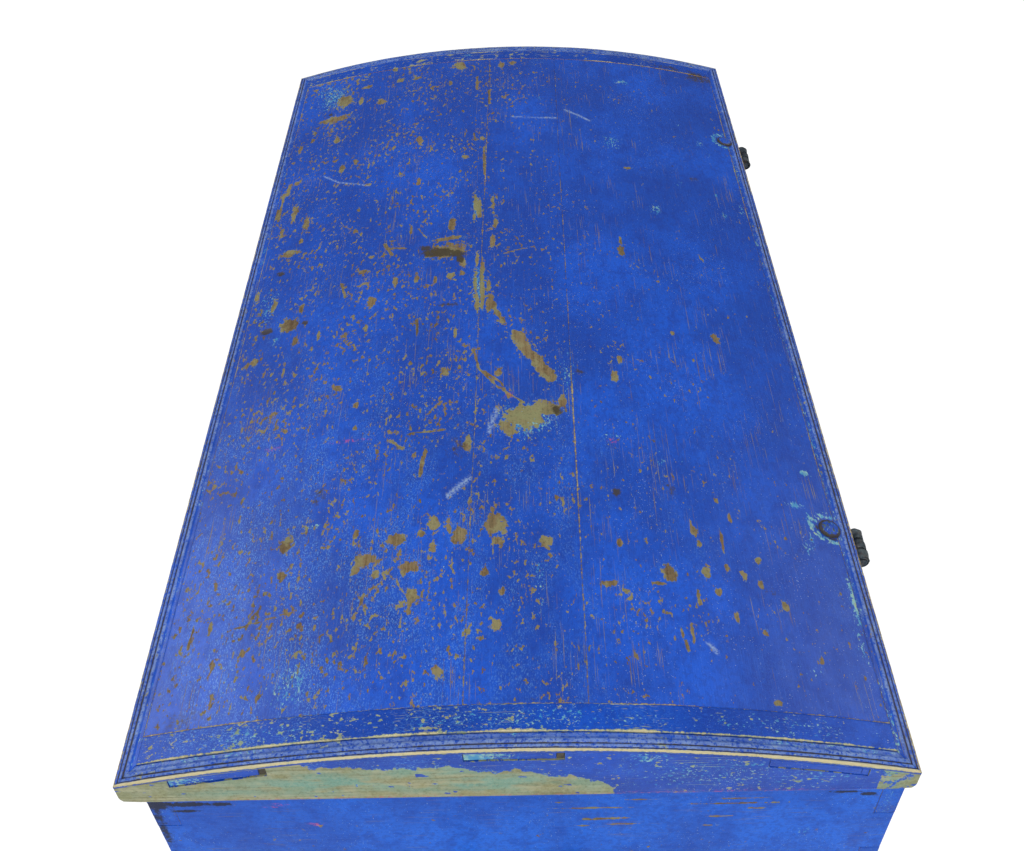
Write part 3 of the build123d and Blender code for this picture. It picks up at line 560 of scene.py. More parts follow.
def bare_wood(name, along, seed, dark, mid, light):
    n = Nodes(name)
    colour, relief = wood_colours(n, along, dark, mid, light, seed)
    grime = n.noise((120, 120, 120), 3.0, 0.6, seed + 30)
    grime = n.times(n.step(grime, 0.42, 0.72), 0.35)
    colour = n.mix(grime, colour, dark)
    spots = n.noise((5, 5, 5), 3.0, 0.6, seed + 31)
    colour = n.over(colour, tone(58, 40, 22), spots, 0.68, 0.76, 0.5)
    return n.finish(colour, n.add(0.62, n.times(grime, 0.3)), n.times(relief, 1.1), specular=0.3)


def forged_iron(name, seed, rust=0.35):
    n = Nodes(name)
    hammer = n.noise((7, 7, 7), 2.0, 0.5, seed)
    pits = n.noise((1.4, 1.4, 1.4), 3.0, 0.65, seed + 1)
    scale_tone = n.noise((12, 12, 12), 3.0, 0.6, seed + 2)
    colour = n.mix(n.step(scale_tone, 0.35, 0.7), tone(42, 52, 60), tone(86, 96, 100))
    rusty = n.times(n.step(n.noise((9, 9, 9), 4.0, 0.7, seed + 3), 0.50, 0.66), rust)
    colour = n.mix(rusty, colour, tone(92, 58, 36))
    colour = n.over(colour, tone(18, 20, 24), pits, 0.58, 0.7, 0.5)
    height = n.add(n.times(hammer, 0.5), n.times(pits, 0.14))
    gloss = n.add(0.42, n.times(pits, 0.3))
    return n.finish(colour, gloss, height, metallic=n.blend(rusty, 0.75, 0.1))


CROSS_WOOD = tones((88, 89, 62), (122, 125, 98), (150, 150, 122))
CROSS_BLUES = ((2, 51, 140), (5, 67, 168))
CROSS_STAIN = (98, 144, 134)
BODY_BLUES = ((2, 70, 166), (5, 88, 194))
BODY_DARK = (10, 13, 24)
PINE = tones((112, 76, 40), (158, 118, 70), (186, 150, 100))
PAINT_X = painted_wood("blue_paint_long", 0, 1.0)
PAINT_Y = painted_wood("blue_paint_cross", 1, 3.0, CROSS_WOOD, specular=0.16, blues=CROSS_BLUES,
                       stain=CROSS_STAIN)
PAINT_BODY_X = painted_wood("blue_paint_body_long", 0, 5.0, rub_bias=-0.25, old_bias=-0.3, specular=0.1,
                            blues=BODY_BLUES, dark_tone=BODY_DARK)
PAINT_BODY_Y = painted_wood("blue_paint_body_cross", 1, 7.0, rub_bias=-0.35, old_bias=-0.4, specular=0.1,
                            blues=BODY_BLUES, dark_tone=BODY_DARK)
PINE_X = bare_wood("aged_pine_long", 0, 11.0, *PINE)
PINE_Y = bare_wood("aged_pine_cross", 1, 13.0, *PINE)
WEDGE_WOOD = bare_wood("dark_wedge", 0, 17.0, *tones((26, 22, 18), (50, 44, 34), (72, 66, 50)))
IRON = forged_iron("forged_iron", 19.0)
IRON_LIGHT = forged_iron("rubbed_iron", 23.0, 0.2)


# Fields of wear: values far from bare wood and from a worn arris, the value at a mark's middle, and how
# far from a mark its spots are worked out

NO_BARE = -20.0
NO_ARRIS = -3.0
SPOT_DEPTH = 8.0
MARK_REACH = 30.0


def ellipse_distance(x, y, spots):
    """How far inside the nearest spot: SPOT_DEPTH at its middle, 0 at its edge, negative outside."""
    best = np.full(len(x), -MARK_REACH)
    for px, py, half_x, half_y, *turn in spots:
        angle = math.radians(sum(turn))
        dx = (x - px) * math.cos(angle) + (y - py) * math.sin(angle)
        dy = -(x - px) * math.sin(angle) + (y - py) * math.cos(angle)
        near = (np.abs(dx) < half_x + MARK_REACH) & (np.abs(dy) < half_y + MARK_REACH)
        ratio = np.sqrt((dx[near] / half_x) ** 2 + (dy[near] / half_y) ** 2)
        best[near] = np.maximum(best[near], (1 - ratio) * SPOT_DEPTH)
    return best


def line_distance(x, y, lines):
    """How far inside the nearest scratch: SPOT_DEPTH on its line, 0 at its edge, negative outside."""
    best = np.full(len(x), -MARK_REACH)
    for half, points in lines:
        for (ax, ay), (bx, by) in zip(points, points[1:]):
            length_sq = (bx - ax) ** 2 + (by - ay) ** 2
            along = np.clip(((x - ax) * (bx - ax) + (y - ay) * (by - ay)) / length_sq, 0, 1)
            gap = np.hypot(x - ax - along * (bx - ax), y - ay - along * (by - ay))
            best = np.maximum(best, (1 - gap / half) * SPOT_DEPTH)
    return best


def soft_amount(x, y, places):
    """The largest of the listed amounts at each point, each fading out round its place."""
    best = np.zeros(len(x))
    for px, py, half_x, half_y, amount in places:
        ratio = np.sqrt(((x - px) / half_x) ** 2 + ((y - py) / half_y) ** 2)
        best = np.maximum(best, amount * np.clip(1.35 - ratio, 0, 1))
    return best


def limited(values):
    """Depths of bare wood kept within the range that the paint needs."""
    return np.clip(values, NO_BARE, -NO_BARE)


def rivet_distance(points):
    """Distance of each point from the nearest rivet's middle, seen from above."""
    return np.min([np.hypot(points[:, 0] - px, points[:, 1] - py) for px, py in RIVETS], axis=0)


def top_fields(points, arris):
    """Wear on the lid's top, from the listed marks."""
    x, y = points[:, 0], points[:, 1]
    bare = np.maximum(ellipse_distance(x, y, BARE_SPOTS), line_distance(x, y, BARE_SCRATCHES))
    ring = rivet_distance(points)
    halo = np.max([np.clip(1.9 - np.abs(ring - radius) / 1.1, 0, 1.6) for radius in HALO_RADII], axis=0)
    front = np.clip((-y + 60) / 300, 0, 1)
    middle = np.exp(-((y + 60) / 120) ** 2)
    rub = 0.18 + 0.42 * front + 0.25 * middle - 0.30 * np.clip((y - 60) / 200, 0, 1)
    rub += 0.15 * np.exp(-((x - 420) / 90) ** 2)
    rub -= 0.35 * np.exp(-(((x + 250) / 160) ** 2 + ((y - 150) / 110) ** 2))
    return {
        "bare": limited(bare),
        "old": np.maximum(soft_amount(x, y, OLD_PAINT), halo),
        "pale": np.clip(line_distance(x, y, PALE_SCRATCHES) / SPOT_DEPTH + 0.5, 0, 1),
        "dark": soft_amount(x, y, DARK_MARKS),
        "rub": rub,
        "red": soft_amount(x, y, RED_MARKS),
        # pale specks densest towards the near front corner: dust, and a painted sheen there
        "dust_and_sheen": np.clip(0.25 + x / 420, 0.15, 1.0) * np.clip(0.6 - y / 500, 0.2, 1.0),
        "arris": arris,
    }


def plain_fields(points, arris, rub=0.2, old=0.0):
    levels = {"pale": 0.0, "dark": 0.0, "red": 0.0, "dust_and_sheen": 0.0, "bare": NO_BARE, "old": old, "rub": rub}
    fields = {name: np.full(len(points), level) for name, level in levels.items()}
    fields["arris"] = arris
    return fields


# Lid planks

FIELD_EDGE = HALF_W - MOULD
FINE_EDGE = (0.35, 0.9, 1.8)
FIELD_ARRIS = 1.1
SEAM_ARRIS = 0.7
SEAM_DEPTH = 3.0
GRID = full_or_quick(2.9)
CORNER = 7.0


def edge_drop(edge):
    """How far a top is worn down at a distance from its edge."""
    return 0.4 * max(0.0, 1 - edge / 0.9) ** 2


def field_ends(low, high, front, back):
    """Where a plank's top begins and ends: at its seams, or inside the mouldings."""
    return -FIELD_EDGE if front else low, FIELD_EDGE if back else high


def plank_section(low, high, front, back):
    """Outline of a plank across the grain: rows of (y, z, arris, is top)."""
    rows = []
    y0, y1 = field_ends(low, high, front, back)
    for y in spaced(y0, y1, GRID, FINE_EDGE):
        edge = min(y - y0, y1 - y)
        bare = FIELD_ARRIS if (front and y - y0 < y1 - y) or (back and y1 - y < y - y0) else SEAM_ARRIS
        rows.append((y, float(arch_z(y)) - edge_drop(edge), bare - edge * 1.2, True))
    if back:
        rows += [(y, float(arch_z(y)) - MOULD_DEPTH, NO_ARRIS, False) for y in (y1, HALF_W)]
        rows += edge_face(HALF_W, 1)
    else:
        rows.append((y1, float(arch_z(y1)) - SEAM_DEPTH, NO_ARRIS, False))
    for y in np.linspace(min(VAULT_HALF, high), max(-VAULT_HALF, low), 12):
        rows.append((y, float(vault_z(y)), NO_ARRIS, False))
    if front:
        rows += edge_face(-HALF_W, -1)[::-1]
        rows += [(y, float(arch_z(y)) - MOULD_DEPTH, NO_ARRIS, False) for y in (-HALF_W, y0)]
    else:
        rows.append((y0, float(arch_z(y0)) - SEAM_DEPTH, NO_ARRIS, False))
    return rows


def edge_face(y, side):
    """The lid's outer edge from the moulding down and round its lower corner."""
    rows = []
    top = float(arch_z(y)) - MOULD_DEPTH
    for z in np.linspace(top - 2, LID_Z + CORNER, 7):
        rows.append((y, z, -1.0, False))
    for turn in (30, 60, 90):
        angle = math.radians(turn)
        inward = CORNER * (1 - math.cos(angle))
        rows.append((y - side * inward, LID_Z + CORNER * (1 - math.sin(angle)), 0.2, False))
    return rows


def skewed_section(rows, base, ends):
    """The outline's rows moved for a skewed seam, so that each ring has as many."""
    moved_rows = []
    for y, z, arris, top in rows:
        share = (y - base[0]) / (base[1] - base[0])
        if 0 <= share <= 1:
            moved = ends[0] + share * (ends[1] - ends[0])
            surface = arch_z if z > float(vault_z(y)) + 8 else vault_z
            moved_rows.append((moved, z + float(surface(moved) - surface(y)), arris, top))
        else:
            moved_rows.append((y, z, arris, top))
    return moved_rows


def lid_plank(name, low, high, seed):
    """One plank between two seams, each given at both ends of the lid, or None at the lid's edge."""
    front = low is None
    back = high is None
    stations = spaced(-CLAMP_X + JOINT_GAP, CLAMP_X - JOINT_GAP, GRID, FINE_EDGE)
    base = None
    rings = []
    arrises = []
    for x in stations:
        share = (x + CLAMP_X) / (2 * CLAMP_X)
        y_low = -HALF_W if front else low[0] + (low[1] - low[0]) * share + SEAM_GAP
        y_high = HALF_W if back else high[0] + (high[1] - high[0]) * share - SEAM_GAP
        ends = field_ends(y_low, y_high, front, back)
        if base is None:
            base = ends
            outline = plank_section(y_low, y_high, front, back)
        rows = skewed_section(outline, base, ends)
        edge = CLAMP_X - JOINT_GAP - abs(x)
        drop = edge_drop(edge)
        rings.append([(x, y, z - (drop if top else 0)) for y, z, arris, top in rows])
        arrises.append([max(arris, 0.9 - edge * 1.2) if top else arris for y, z, arris, top in rows])
    arris = np.array(arrises).reshape(-1)
    tops = np.array([row[3] for row in outline] * len(stations))
    verts, faces = loft(np.array(rings))
    relief = rough(verts, (160, 60, 60), seed) * 0.5 + rough(verts, (40, 14, 14), seed + 1) * 0.12
    gouge = soft_amount(verts[:, 0], verts[:, 1], DARK_MARKS) * 0.7
    dent = np.clip(ellipse_distance(verts[:, 0], verts[:, 1], BARE_SPOTS), 0, 2) * 0.06
    inset = np.clip(np.minimum(HALF_L - np.abs(verts[:, 0]), HALF_W - np.abs(verts[:, 1])) / 40, 0, 1)
    verts[:, 2] -= np.where(tops, gouge + dent + (relief + 0.62) * inset, 0)
    ring = rivet_distance(verts)
    recess = 1.3 * np.clip((RIVET_RECESS + 1.5 - ring) / 2.5, 0, 1)
    verts[:, 2] -= np.where(tops, recess, 0)
    arris += rough(verts, (110, 60, 60), seed + 2) * 1.5 - 0.5
    fields = top_fields(verts, arris)
    # A darker ring at the edge of each rivet's recess: painted shade in the recess
    fields["dark"] = np.maximum(fields["dark"], np.clip(0.8 - np.abs(ring - RIVET_RECESS) / 1.5, 0, 1))
    for field, below in (("old", 0), ("pale", 0), ("dark", 0), ("red", 0), ("bare", NO_BARE)):
        fields[field] = np.where(tops, fields[field], below)
    piece = new_piece(f"{name}_worn", verts, faces, "lid", PAINT_X, fields)
    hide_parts(name)
    crisp(piece)
    pine_faces(piece, PINE_X, lambda face: face.normal.z < -0.5 and face.center.z / MM > LID_Z + 0.6)


lid_plank("lid_plank_front", None, SEAM_FRONT, 101)
lid_plank("lid_plank_centre", SEAM_FRONT, SEAM_BACK, 113)
lid_plank("lid_plank_back", SEAM_BACK, None, 127)


# End clamps: steps along them, and the kinds of face in their outline

CLAMP_STEP = full_or_quick(2.2)
CLAMP_FINE = (0.5, 1.5, 3.0, MOULD - 0.05, MOULD + 0.3)
HIDDEN, TOP, FACE = range(3)

def lower_corner(y):
    """How far the clamp's underside rises at its rounded front and back corners."""
    past = np.clip(np.abs(y) - (HALF_W - CORNER), 0, CORNER)
    return CORNER - np.sqrt(np.maximum(CORNER**2 - past**2, 0.0))


def end_bare(points, side):
    """Millimetres of bare wood inside the paint's ragged edge on a clamp's end face."""
    y = points[:, 1]
    rise = points[:, 2] - EDGE_Z
    if side > 0:
        limit_y, limit_z = zip(*END_PAINT_EDGE)
        bare = np.interp(y, limit_y, limit_z) - rise
        bare = np.where(y > 288, 1.2, bare)
        bare = np.where((y > 80) & (y < 288), -12, bare)
        island_limit = np.where(y < -288, 0.72, 0.86)
        islands = np.clip((lumps(points, (6, 7, 3), 401) - island_limit) / 0.08, 0, 1)
        bare = np.minimum(bare, 9 - 14 * islands)
    else:
        bare = 6 - (rise + 28) * 0.9 + 10 * np.sin(y / 47)
    return limited(bare)


def clamp_ring(y):
    """Outline of an end clamp along the trunk: rows of x, y, z, kind of face and arris."""
    inner = CLAMP_X + JOINT_GAP
    outer = HALF_L - MOULD
    top = float(arch_z(y))
    face_top = top - MOULD_DEPTH
    bottom = LID_Z + float(lower_corner(y))
    ring = []
    for x in spaced(inner, outer, 2.4, FINE_EDGE):
        edge = min(x - inner, outer - x)
        if abs(y) > FIELD_EDGE:
            ring.append((x, y, face_top, HIDDEN, NO_ARRIS))
        else:
            arris = 1.6 - edge if outer - x < x - inner else 0.6 - edge * 1.3
            ring.append((x, y, top - edge_drop(edge), TOP, arris))
    ring.append((outer, y, face_top, HIDDEN, NO_ARRIS))
    for share in np.linspace(0, 1, 26):
        ring.append((HALF_L, y, face_top + (bottom + 1.6 - face_top) * share, FACE, NO_ARRIS))
    ring.append((HALF_L - 0.6, y, bottom + 0.4, FACE, 1.2))
    ring.append((HALF_L - 1.8, y, bottom, FACE, 1.0))
    ring.append((inner, y, bottom, HIDDEN, NO_ARRIS))
    return ring


def end_clamp(name, side, seed):
    rings = np.array([clamp_ring(y) for y in spaced(-HALF_W, HALF_W, CLAMP_STEP, CLAMP_FINE)])
    verts, faces = loft(rings[..., :3])
    kind, arris = rings[..., 3:].reshape(-1, 2).T
    x, y, z = verts.T
    is_top = kind == TOP
    is_face = kind == FACE
    verts[:, 2] -= np.where(is_top, 0.25 + 0.25 * rough(verts, (50, 120, 50), seed), 0)
    hollow = 0.25 + 0.25 * rough(verts, (30, 90, 18), seed + 1)
    verts[:, 0] -= np.where(is_face & (z > LID_Z + 3), hollow, 0)
    mirrored = verts * (side, 1, 1)
    arris = arris + rough(verts, (50, 46, 50), seed + 2) * 1.9 - 0.5
    fields = top_fields(mirrored, arris)
    rise = z - EDGE_Z
    arris[is_face] = np.maximum(arris, 3.6 - (arch_z(y) - z) * 0.85)[is_face]
    lower_red = np.clip(1 - (rise + 27) / 5, 0, 1) * (0.25 + 0.75 * lumps(verts, (20, 40, 20), seed + 3))
    on_face = {
        "old": soft_amount(y, rise, END_TURQUOISE),
        "rub": np.where(y > 80, 0.35, 0.1),
        "red": lower_red * np.where(np.abs(y) < 230, 0.8, 0.2),
        "pale": 0,
        "dark": 0,
    }
    for field, values in on_face.items():
        fields[field] = np.where(is_face, values, fields[field])
    fields["bare"] = np.where(is_face, end_bare(verts, side), np.where(is_top, fields["bare"], NO_BARE))
    piece = new_piece(f"{name}_worn", mirrored, faces, "lid", PAINT_Y, fields)
    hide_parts(name)
    crisp(piece)
    return piece


def mortise_cutter(side, span):
    """A slab that follows the arch and is a little larger than one tenon's end."""
    near, far = HALF_L - CUT_DEPTH, HALF_L + CUT_PAST
    rings = []
    for y in np.linspace(span[0] - MORTISE_GAP, span[1] + MORTISE_GAP, 34):
        top = float(arch_z(y)) - (TENON_COVER - MORTISE_GAP)
        low = float(arch_z(y)) - (TENON_COVER + TENON_THICK + MORTISE_GAP)
        rings.append([(near, y, top), (far, y, top), (far, y, low), (near, y, low)])
    verts, faces = loft(np.array(rings))
    mesh = bpy.data.meshes.new("cutter")
    mesh.from_pydata((verts * (side, 1, 1) * MM).tolist(), [], faces)
    cutter = placed("cutter", mesh)
    outward(cutter)
    return cutter


def cut_holes(piece, side):
    """Opens the through mortises in a clamp's end face."""
    for span in TENON_SPANS:
        cutter = mortise_cutter(side, span)
        modifier = piece.modifiers.new("mortise", "BOOLEAN")
        modifier.operation = "DIFFERENCE"
        modifier.solver = "EXACT"
        modifier.object = cutter
        with bpy.context.temp_override(object=piece, active_object=piece):
            bpy.ops.object.modifier_apply(modifier=modifier.name)
        bpy.data.objects.remove(cutter)


def tenon_ends(side, seed):
    """Tenon ends a little below the clamp's face, and a wedge at each one's back edge, dark or painted."""
    word = "right" if side > 0 else "left"
    root = HALF_L - TENON_ROOT
    for index, (span, plank) in enumerate(zip(TENON_SPANS, ("front", "centre", "back"))):
        painted = plank == "back"
        split = span[1] - TENON_WEDGE
        for label, start, end, count, slot_name, sunk in (
            ("tenon", span[0] + TENON_GAP, split - TENON_GAP, 30, "blue_painted_pine", 1.0),
            ("wedge", split + TENON_GAP, span[1] - TENON_GAP, 5, "dark_wood", 1.4),
        ):
            face = HALF_L - (0.4 if painted else sunk)
            rings = []
            for y in np.linspace(start, end, count):
                top = float(arch_z(y)) - TENON_COVER
                ring = [(root, y, top - TENON_GAP)]
                for share in (0.0, 0.06, 0.25, 0.5, 0.75, 0.94, 1.0):
                    x = face - (0.5 if share in (0.0, 1.0) else 0)
                    ring.append((x, y, top - 0.3 - (TENON_THICK - 0.6) * share))
                ring.append((root, y, top - TENON_THICK + TENON_GAP))
                rings.append(ring)
            verts, faces = loft(np.array(rings))
            verts[:, 0] += rough(verts, (9, 9, 5), seed + index) * 0.2
            fields = plain_fields(verts, np.full(len(verts), NO_ARRIS), 0.1, TENON_OLD[index])
            fields["old"] *= np.clip(1.15 - (verts[:, 1] - span[0]) / 50, 0.15, 1)
            material = PAINT_Y if painted or label == "tenon" else WEDGE_WOOD
            piece = new_piece(f"{label}_{plank}_{word}", verts * (side, 1, 1), faces, "lid",
                              material, fields, False)
            outward(piece)
            if label == "wedge":
                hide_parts("lid_tenon_wedges")


clamps = []
for end, side, seed in (("right", 1, 131), ("left", -1, 139)):
    clamps.append((end_clamp(f"lid_end_clamp_{end}", side, seed), side))
for clamp, side in clamps:
    cut_holes(clamp, side)
    pine_faces(clamp, PINE_Y, lambda face: (
        face.normal.x * side < -0.9 and face.center.x * side < (CLAMP_X + 0.2) * MM))
for side, seed in ((1, 151), (-1, 157)):
    tenon_ends(side, seed)


# Reeded mouldings: distance in from the edge, height over the arch, bare edge, dirt and painted shade in
# the grooves
REEDS = (
    (0.0, -5.0, -1.6, 0.0), (0.0, -3.4, -0.3, 0.0), (0.0, -1.8, 1.8, 0.0), (0.5, -0.9, 2.4, 0.0),
    (1.3, -0.6, 1.8, 0.0), (2.1, -0.8, -0.6, 0.0), (2.7, -1.9, -3, 0.7), (3.1, -2.2, -3, 0.9),
    (3.7, -1.2, -2, 0.2), (4.7, -0.55, -1.6, 0.0), (5.7, -0.9, -2, 0.2), (6.3, -2.1, -3, 0.8),
    (6.9, -2.4, -3, 0.9), (7.5, -1.3, -2.4, 0.3), (8.3, -0.5, -1.4, 0.0), (9.4, -0.3, -1.2, 0.0),
    (10.4, -0.75, -2.2, 0.0), (11.2, -1.5, -3, 0.1), (12.2, -2.0, -3, 0.15), (13.6, -2.15, -3, 0.1),
    (15.0, -1.9, -3, 0.1), (15.9, -1.95, -3, 0.4), (16.45, -2.3, -3, 0.7), (16.45, -5.0, -3, 0.0),
)


MOULDING_STEP = full_or_quick(2.6)
REED_CREST = -1.4


def moulding(name, end, side, seed):
    """One mitred moulding: end is True across the trunk's end, side says which one."""
    half = HALF_W if end else HALF_L
    count = int(half * 2 / MOULDING_STEP)
    rings = []
    for share in np.linspace(-1, 1, count):
        ring = []
        for inset, height, _, _ in REEDS:
            along = share * (half - inset)
            across = side * ((HALF_L if end else HALF_W) - inset)
            x, y = (across, along) if end else (along, across)
            ring.append((x, y, float(arch_z(y)) + height))
        rings.append(ring)
    verts, faces = loft(np.array(rings))
    insets, heights, bares, groove_dirt_and_shade = (np.tile(column, count) for column in zip(*REEDS))
    wave = rough(verts, (28, 70, 28) if end else (70, 28, 28), seed)
    small = rough(verts, (7, 7, 7), seed + 1)
    raised = heights > REED_CREST
    verts[:, 2] -= np.where(raised, 0.18 + 0.2 * wave + 0.12 * small, 0)
    verts[:, 0 if end else 1] -= np.where(insets < 0.6, side * (0.2 + 0.2 * small), 0)
    outer_bare = 0.0 if end else -1.5
    arris = bares + np.where(insets < 2.0, outer_bare, 0)
    arris += wave * 1.3 + small * 0.7
    fields = plain_fields(verts, arris, 0.1, 0.05)
    # Darker grooves and inner edge: dirt, and painted shade in the hollows
    fields["dark"] = groove_dirt_and_shade * (0.9 + 0.4 * wave)
    # Painted highlights: paler paint on the raised reeds, and on the cove of the end mouldings
    cove_highlight = 0.30 if end else 0.0
    fields["pale"] = np.where(insets > 2, np.where(raised, 0.50, cove_highlight) + 0.3 * small, 0)
    fields["old"] += np.where(insets > 11.5, 0.45 + 0.5 * wave, 0.1)
    material = PAINT_Y if end else PAINT_X
    piece = new_piece(f"{name}_worn", verts, faces, "lid", material, fields)
    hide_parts(name)
    outward(piece)


for name, end, side, seed in (
    ("front", False, -1, 163), ("back", False, 1, 167), ("right", True, 1, 173), ("left", True, -1, 179),
):
    moulding(f"lid_moulding_{name}", end, side, seed)


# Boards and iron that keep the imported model's shape, with softened and worn edges


WELD = 1e-6
FLAT_DEGREES = 1.0
SHARP_DEGREES = 35
FULL_EDGE_DEGREES = 40


def divided(shell, low, high, steps):
    """Cuts a mesh into even slices along each axis that has a step."""
    for axis, step in enumerate(steps):
        if not step:
            continue
        count = int((high[axis] - low[axis]) / step)
        normal = [0, 0, 0]
        normal[axis] = 1
        for index in range(1, count):
            place = [0, 0, 0]
            place[axis] = (low[axis] + (high[axis] - low[axis]) * index / count) * MM
            everything = shell.verts[:] + shell.edges[:] + shell.faces[:]
            bmesh.ops.bisect_plane(shell, geom=everything, plane_co=place, plane_no=normal, dist=WELD)


def sharpest_turn(vert):
    """The largest angle between two faces that meet at a corner."""
    faces = vert.link_faces
    return max((first.normal.angle(second.normal, 0) for first in faces for second in faces), default=0)


def dressed(node, body, material, bevel, steps, seed, wobble=0.15, rub=0.1, old=0.0,
            bare_edge=0.6, smooth=False, reshape=None):
    """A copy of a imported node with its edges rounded, its faces divided and its surface worn."""
    shell = bmesh.new()
    shell.from_mesh(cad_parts[node].data)
    bmesh.ops.remove_doubles(shell, verts=shell.verts, dist=WELD)
    bmesh.ops.dissolve_limit(shell, angle_limit=math.radians(FLAT_DEGREES), verts=shell.verts,
                             edges=shell.edges)
    limit = math.radians(SHARP_DEGREES)
    sharp = [e for e in shell.edges if e.is_manifold and e.calc_face_angle(0) > limit]
    bmesh.ops.bevel(shell, geom=sharp, offset=bevel * MM, segments=2, profile=0.6, affect="EDGES",
                    clamp_overlap=True)
    low, high = (np.array(corner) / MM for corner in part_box(node))
    divided(shell, low, high, steps)
    shell.normal_update()
    shell.verts.ensure_lookup_table()
    verts = np.array([v.co[:] for v in shell.verts]) / MM
    normals = np.array([v.normal[:] for v in shell.verts])
    turned = np.array([sharpest_turn(v) for v in shell.verts])
    edge = np.clip(turned / math.radians(FULL_EDGE_DEGREES), 0, 1)
    worn = (0.5 + 0.5 * rough(verts, (14, 14, 14), seed)) * edge * bevel * 0.6
    worn += wobble * (0.5 + 0.5 * rough(verts, (60, 60, 60), seed + 1))
    verts -= normals * worn[:, None]
    if reshape:
        verts = reshape(verts)
    faces = [[v.index for v in f.verts] for f in shell.faces]
    shell.free()
    arris = edge * 2.6 - 3 + bare_edge + rough(verts, (40, 40, 40), seed + 2) * 1.6
    fields = plain_fields(verts, arris, rub, old)
    piece = new_piece(f"{node}_worn", verts, faces, body, material, fields, smooth)
    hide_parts(node)
    return piece


def inside_pine(piece, axis, limit, way, material):
    """Gives the faces that look into the trunk the bare wood."""
    pine_faces(piece, material, lambda face: (
        face.normal[axis] * way > 0.6 and (face.center[axis] / MM - limit) * way > -1.5))


def set_field(piece, field, values):
    piece.data.attributes[field].data.foreach_set("value", np.asarray(values, dtype=np.float32))


def points_of(piece):
    flat = np.empty(len(piece.data.vertices) * 3)
    piece.data.vertices.foreach_get("co", flat)
    return flat.reshape(-1, 3) / MM


# Marks on the body's near end, under the lid: y, height from the arch's ends and half sizes, then a turn
# for some streaks and an amount for the other marks
END_STREAKS = (
    (62, -73, 32, 1.3), (76, -92, 22, 2.0, 1), (88, -102, 16, 1.3), (56, -104, 7, 1.2), (186, -69, 42, 1.3),
    (192, -61, 22, 1.1), (202, -78, 9, 1.4), (170, -91, 12, 1.3), (165, -107, 6, 1.4), (104, -60, 14, 1.0),
    (40, -63, 12, 0.9), (-60, -150, 30, 1.2), (40, -230, 36, 1.6), (-150, -260, 28, 1.6),
)
END_DARKS = (
    (-300, -56, 10, 8, 1.3), (-276, -55, 20, 4, 1.2), (-248, -56, 12, 3.5, 1.0), (-280, -66, 16, 2.4, 1.0),
    (272, -53, 14, 2.0, 1.1), (292, -57, 7, 3, 1.2), (-304, -90, 6, 50, 0.6),
)
END_REDS = ((-198, -58, 7, 2, 1.0), (-172, -93, 6, 3, 0.9), (-205, -62, 8, 1.5, 0.5))
END_OLDS = (
    (-172, -95, 6, 4, 0.9), (250, -120, 10, 16, 0.9), (-298, -70, 12, 40, 0.7), (310, -70, 10, 50, 0.9),
    (290, -45, 14, 10, 0.9), (-280, -44, 20, 8, 0.7),
)


def mark_end(board):
    """Puts the near end's marks on a board's faces that lie in that end."""
    place = points_of(board)
    near = place[:, 0] > END_X - 2
    y, rise = place[:, 1], place[:, 2] - EDGE_Z
    set_field(board, "bare", np.where(near, limited(ellipse_distance(y, rise, END_STREAKS)), NO_BARE))
    for field, marks in (("dark", END_DARKS), ("red", END_REDS), ("old", END_OLDS)):
        set_field(board, field, np.where(near, soft_amount(y, rise, marks), 0))


BOARD_STEP = full_or_quick(11.0)
BOARD_BEVEL = 0.8
PLINTH_BEVEL = 1.2
INNER_FACE = 17.0

for wall, face_y, way in (("front_board", FRONT_Y, 1), ("back_board", BACK_Y, -1)):
    for half, step_z in (("upper", 3.0), ("lower", BOARD_STEP)):
        board = dressed(f"{wall}_{half}", "carcass", PAINT_BODY_X, BOARD_BEVEL,
                        (BOARD_STEP, 5.0, step_z), 201 + way, rub=0.3, old=0.15)
        if half == "upper":
            mark_end(board)
        inside_pine(board, 1, face_y + way * INNER_FACE, way, PINE_X)
for end, side in (("right", 1), ("left", -1)):
    for half, step_y, step_z in (("upper", 4.0, 1.8), ("lower", BOARD_STEP, BOARD_STEP)):
        board = dressed(f"end_board_{end}_{half}", "carcass", PAINT_BODY_Y, BOARD_BEVEL,
                        (0, step_y, step_z), 211 + side)
        if (end, half) == ("right", "upper"):
            mark_end(board)
        inside_pine(board, 0, side * (END_X - INNER_FACE), -side, PINE_Y)

for edges, paint, steps, seed in (
    (("front", "back"), PAINT_BODY_X, (BOARD_STEP, 0, BOARD_STEP), 221),
    (("right", "left"), PAINT_BODY_Y, (0, BOARD_STEP, BOARD_STEP), 223),
):
    for edge in edges:
        dressed(f"plinth_{edge}", "carcass", paint, PLINTH_BEVEL, steps, seed,
                rub=0.5, old=0.3, bare_edge=1.4)
for index, edge in enumerate(("front", "middle", "back")):
    dressed(f"floor_board_{edge}", "carcass", PINE_X, BOARD_BEVEL, (24.0, 24.0, 0), 231 + index)
for node in ("till_front", "till_bottom"):
    dressed(node, "carcass", PINE_Y, BOARD_BEVEL, (0, 20.0, 20.0), 241)
dressed("till_lid", "till_lid", PINE_Y, BOARD_BEVEL, (20.0, 20.0, 0), 243)

HINGE_Y = 331.0
BARREL = 9.0


def knobbly(seed):
    """A change of shape that makes a hinge's smooth barrel lumpy, as forged knuckles are."""

    def reshape(verts):
        dy, dz = verts[:, 1] - HINGE_Y, verts[:, 2] - RIM_Z
        radius = np.hypot(dy, dz)
        barrel = (radius < BARREL + 0.6) & (radius > BARREL * 0.6)
        lumpy = 0.88 + 0.16 * rough(verts, (7, 8, 8), seed)
        share = np.where(barrel, np.clip(lumpy, 0.7, 1.0), 1.0)
        verts[:, 1] = HINGE_Y + dy * share
        verts[:, 2] = RIM_Z + dz * share
        return verts

    return reshape


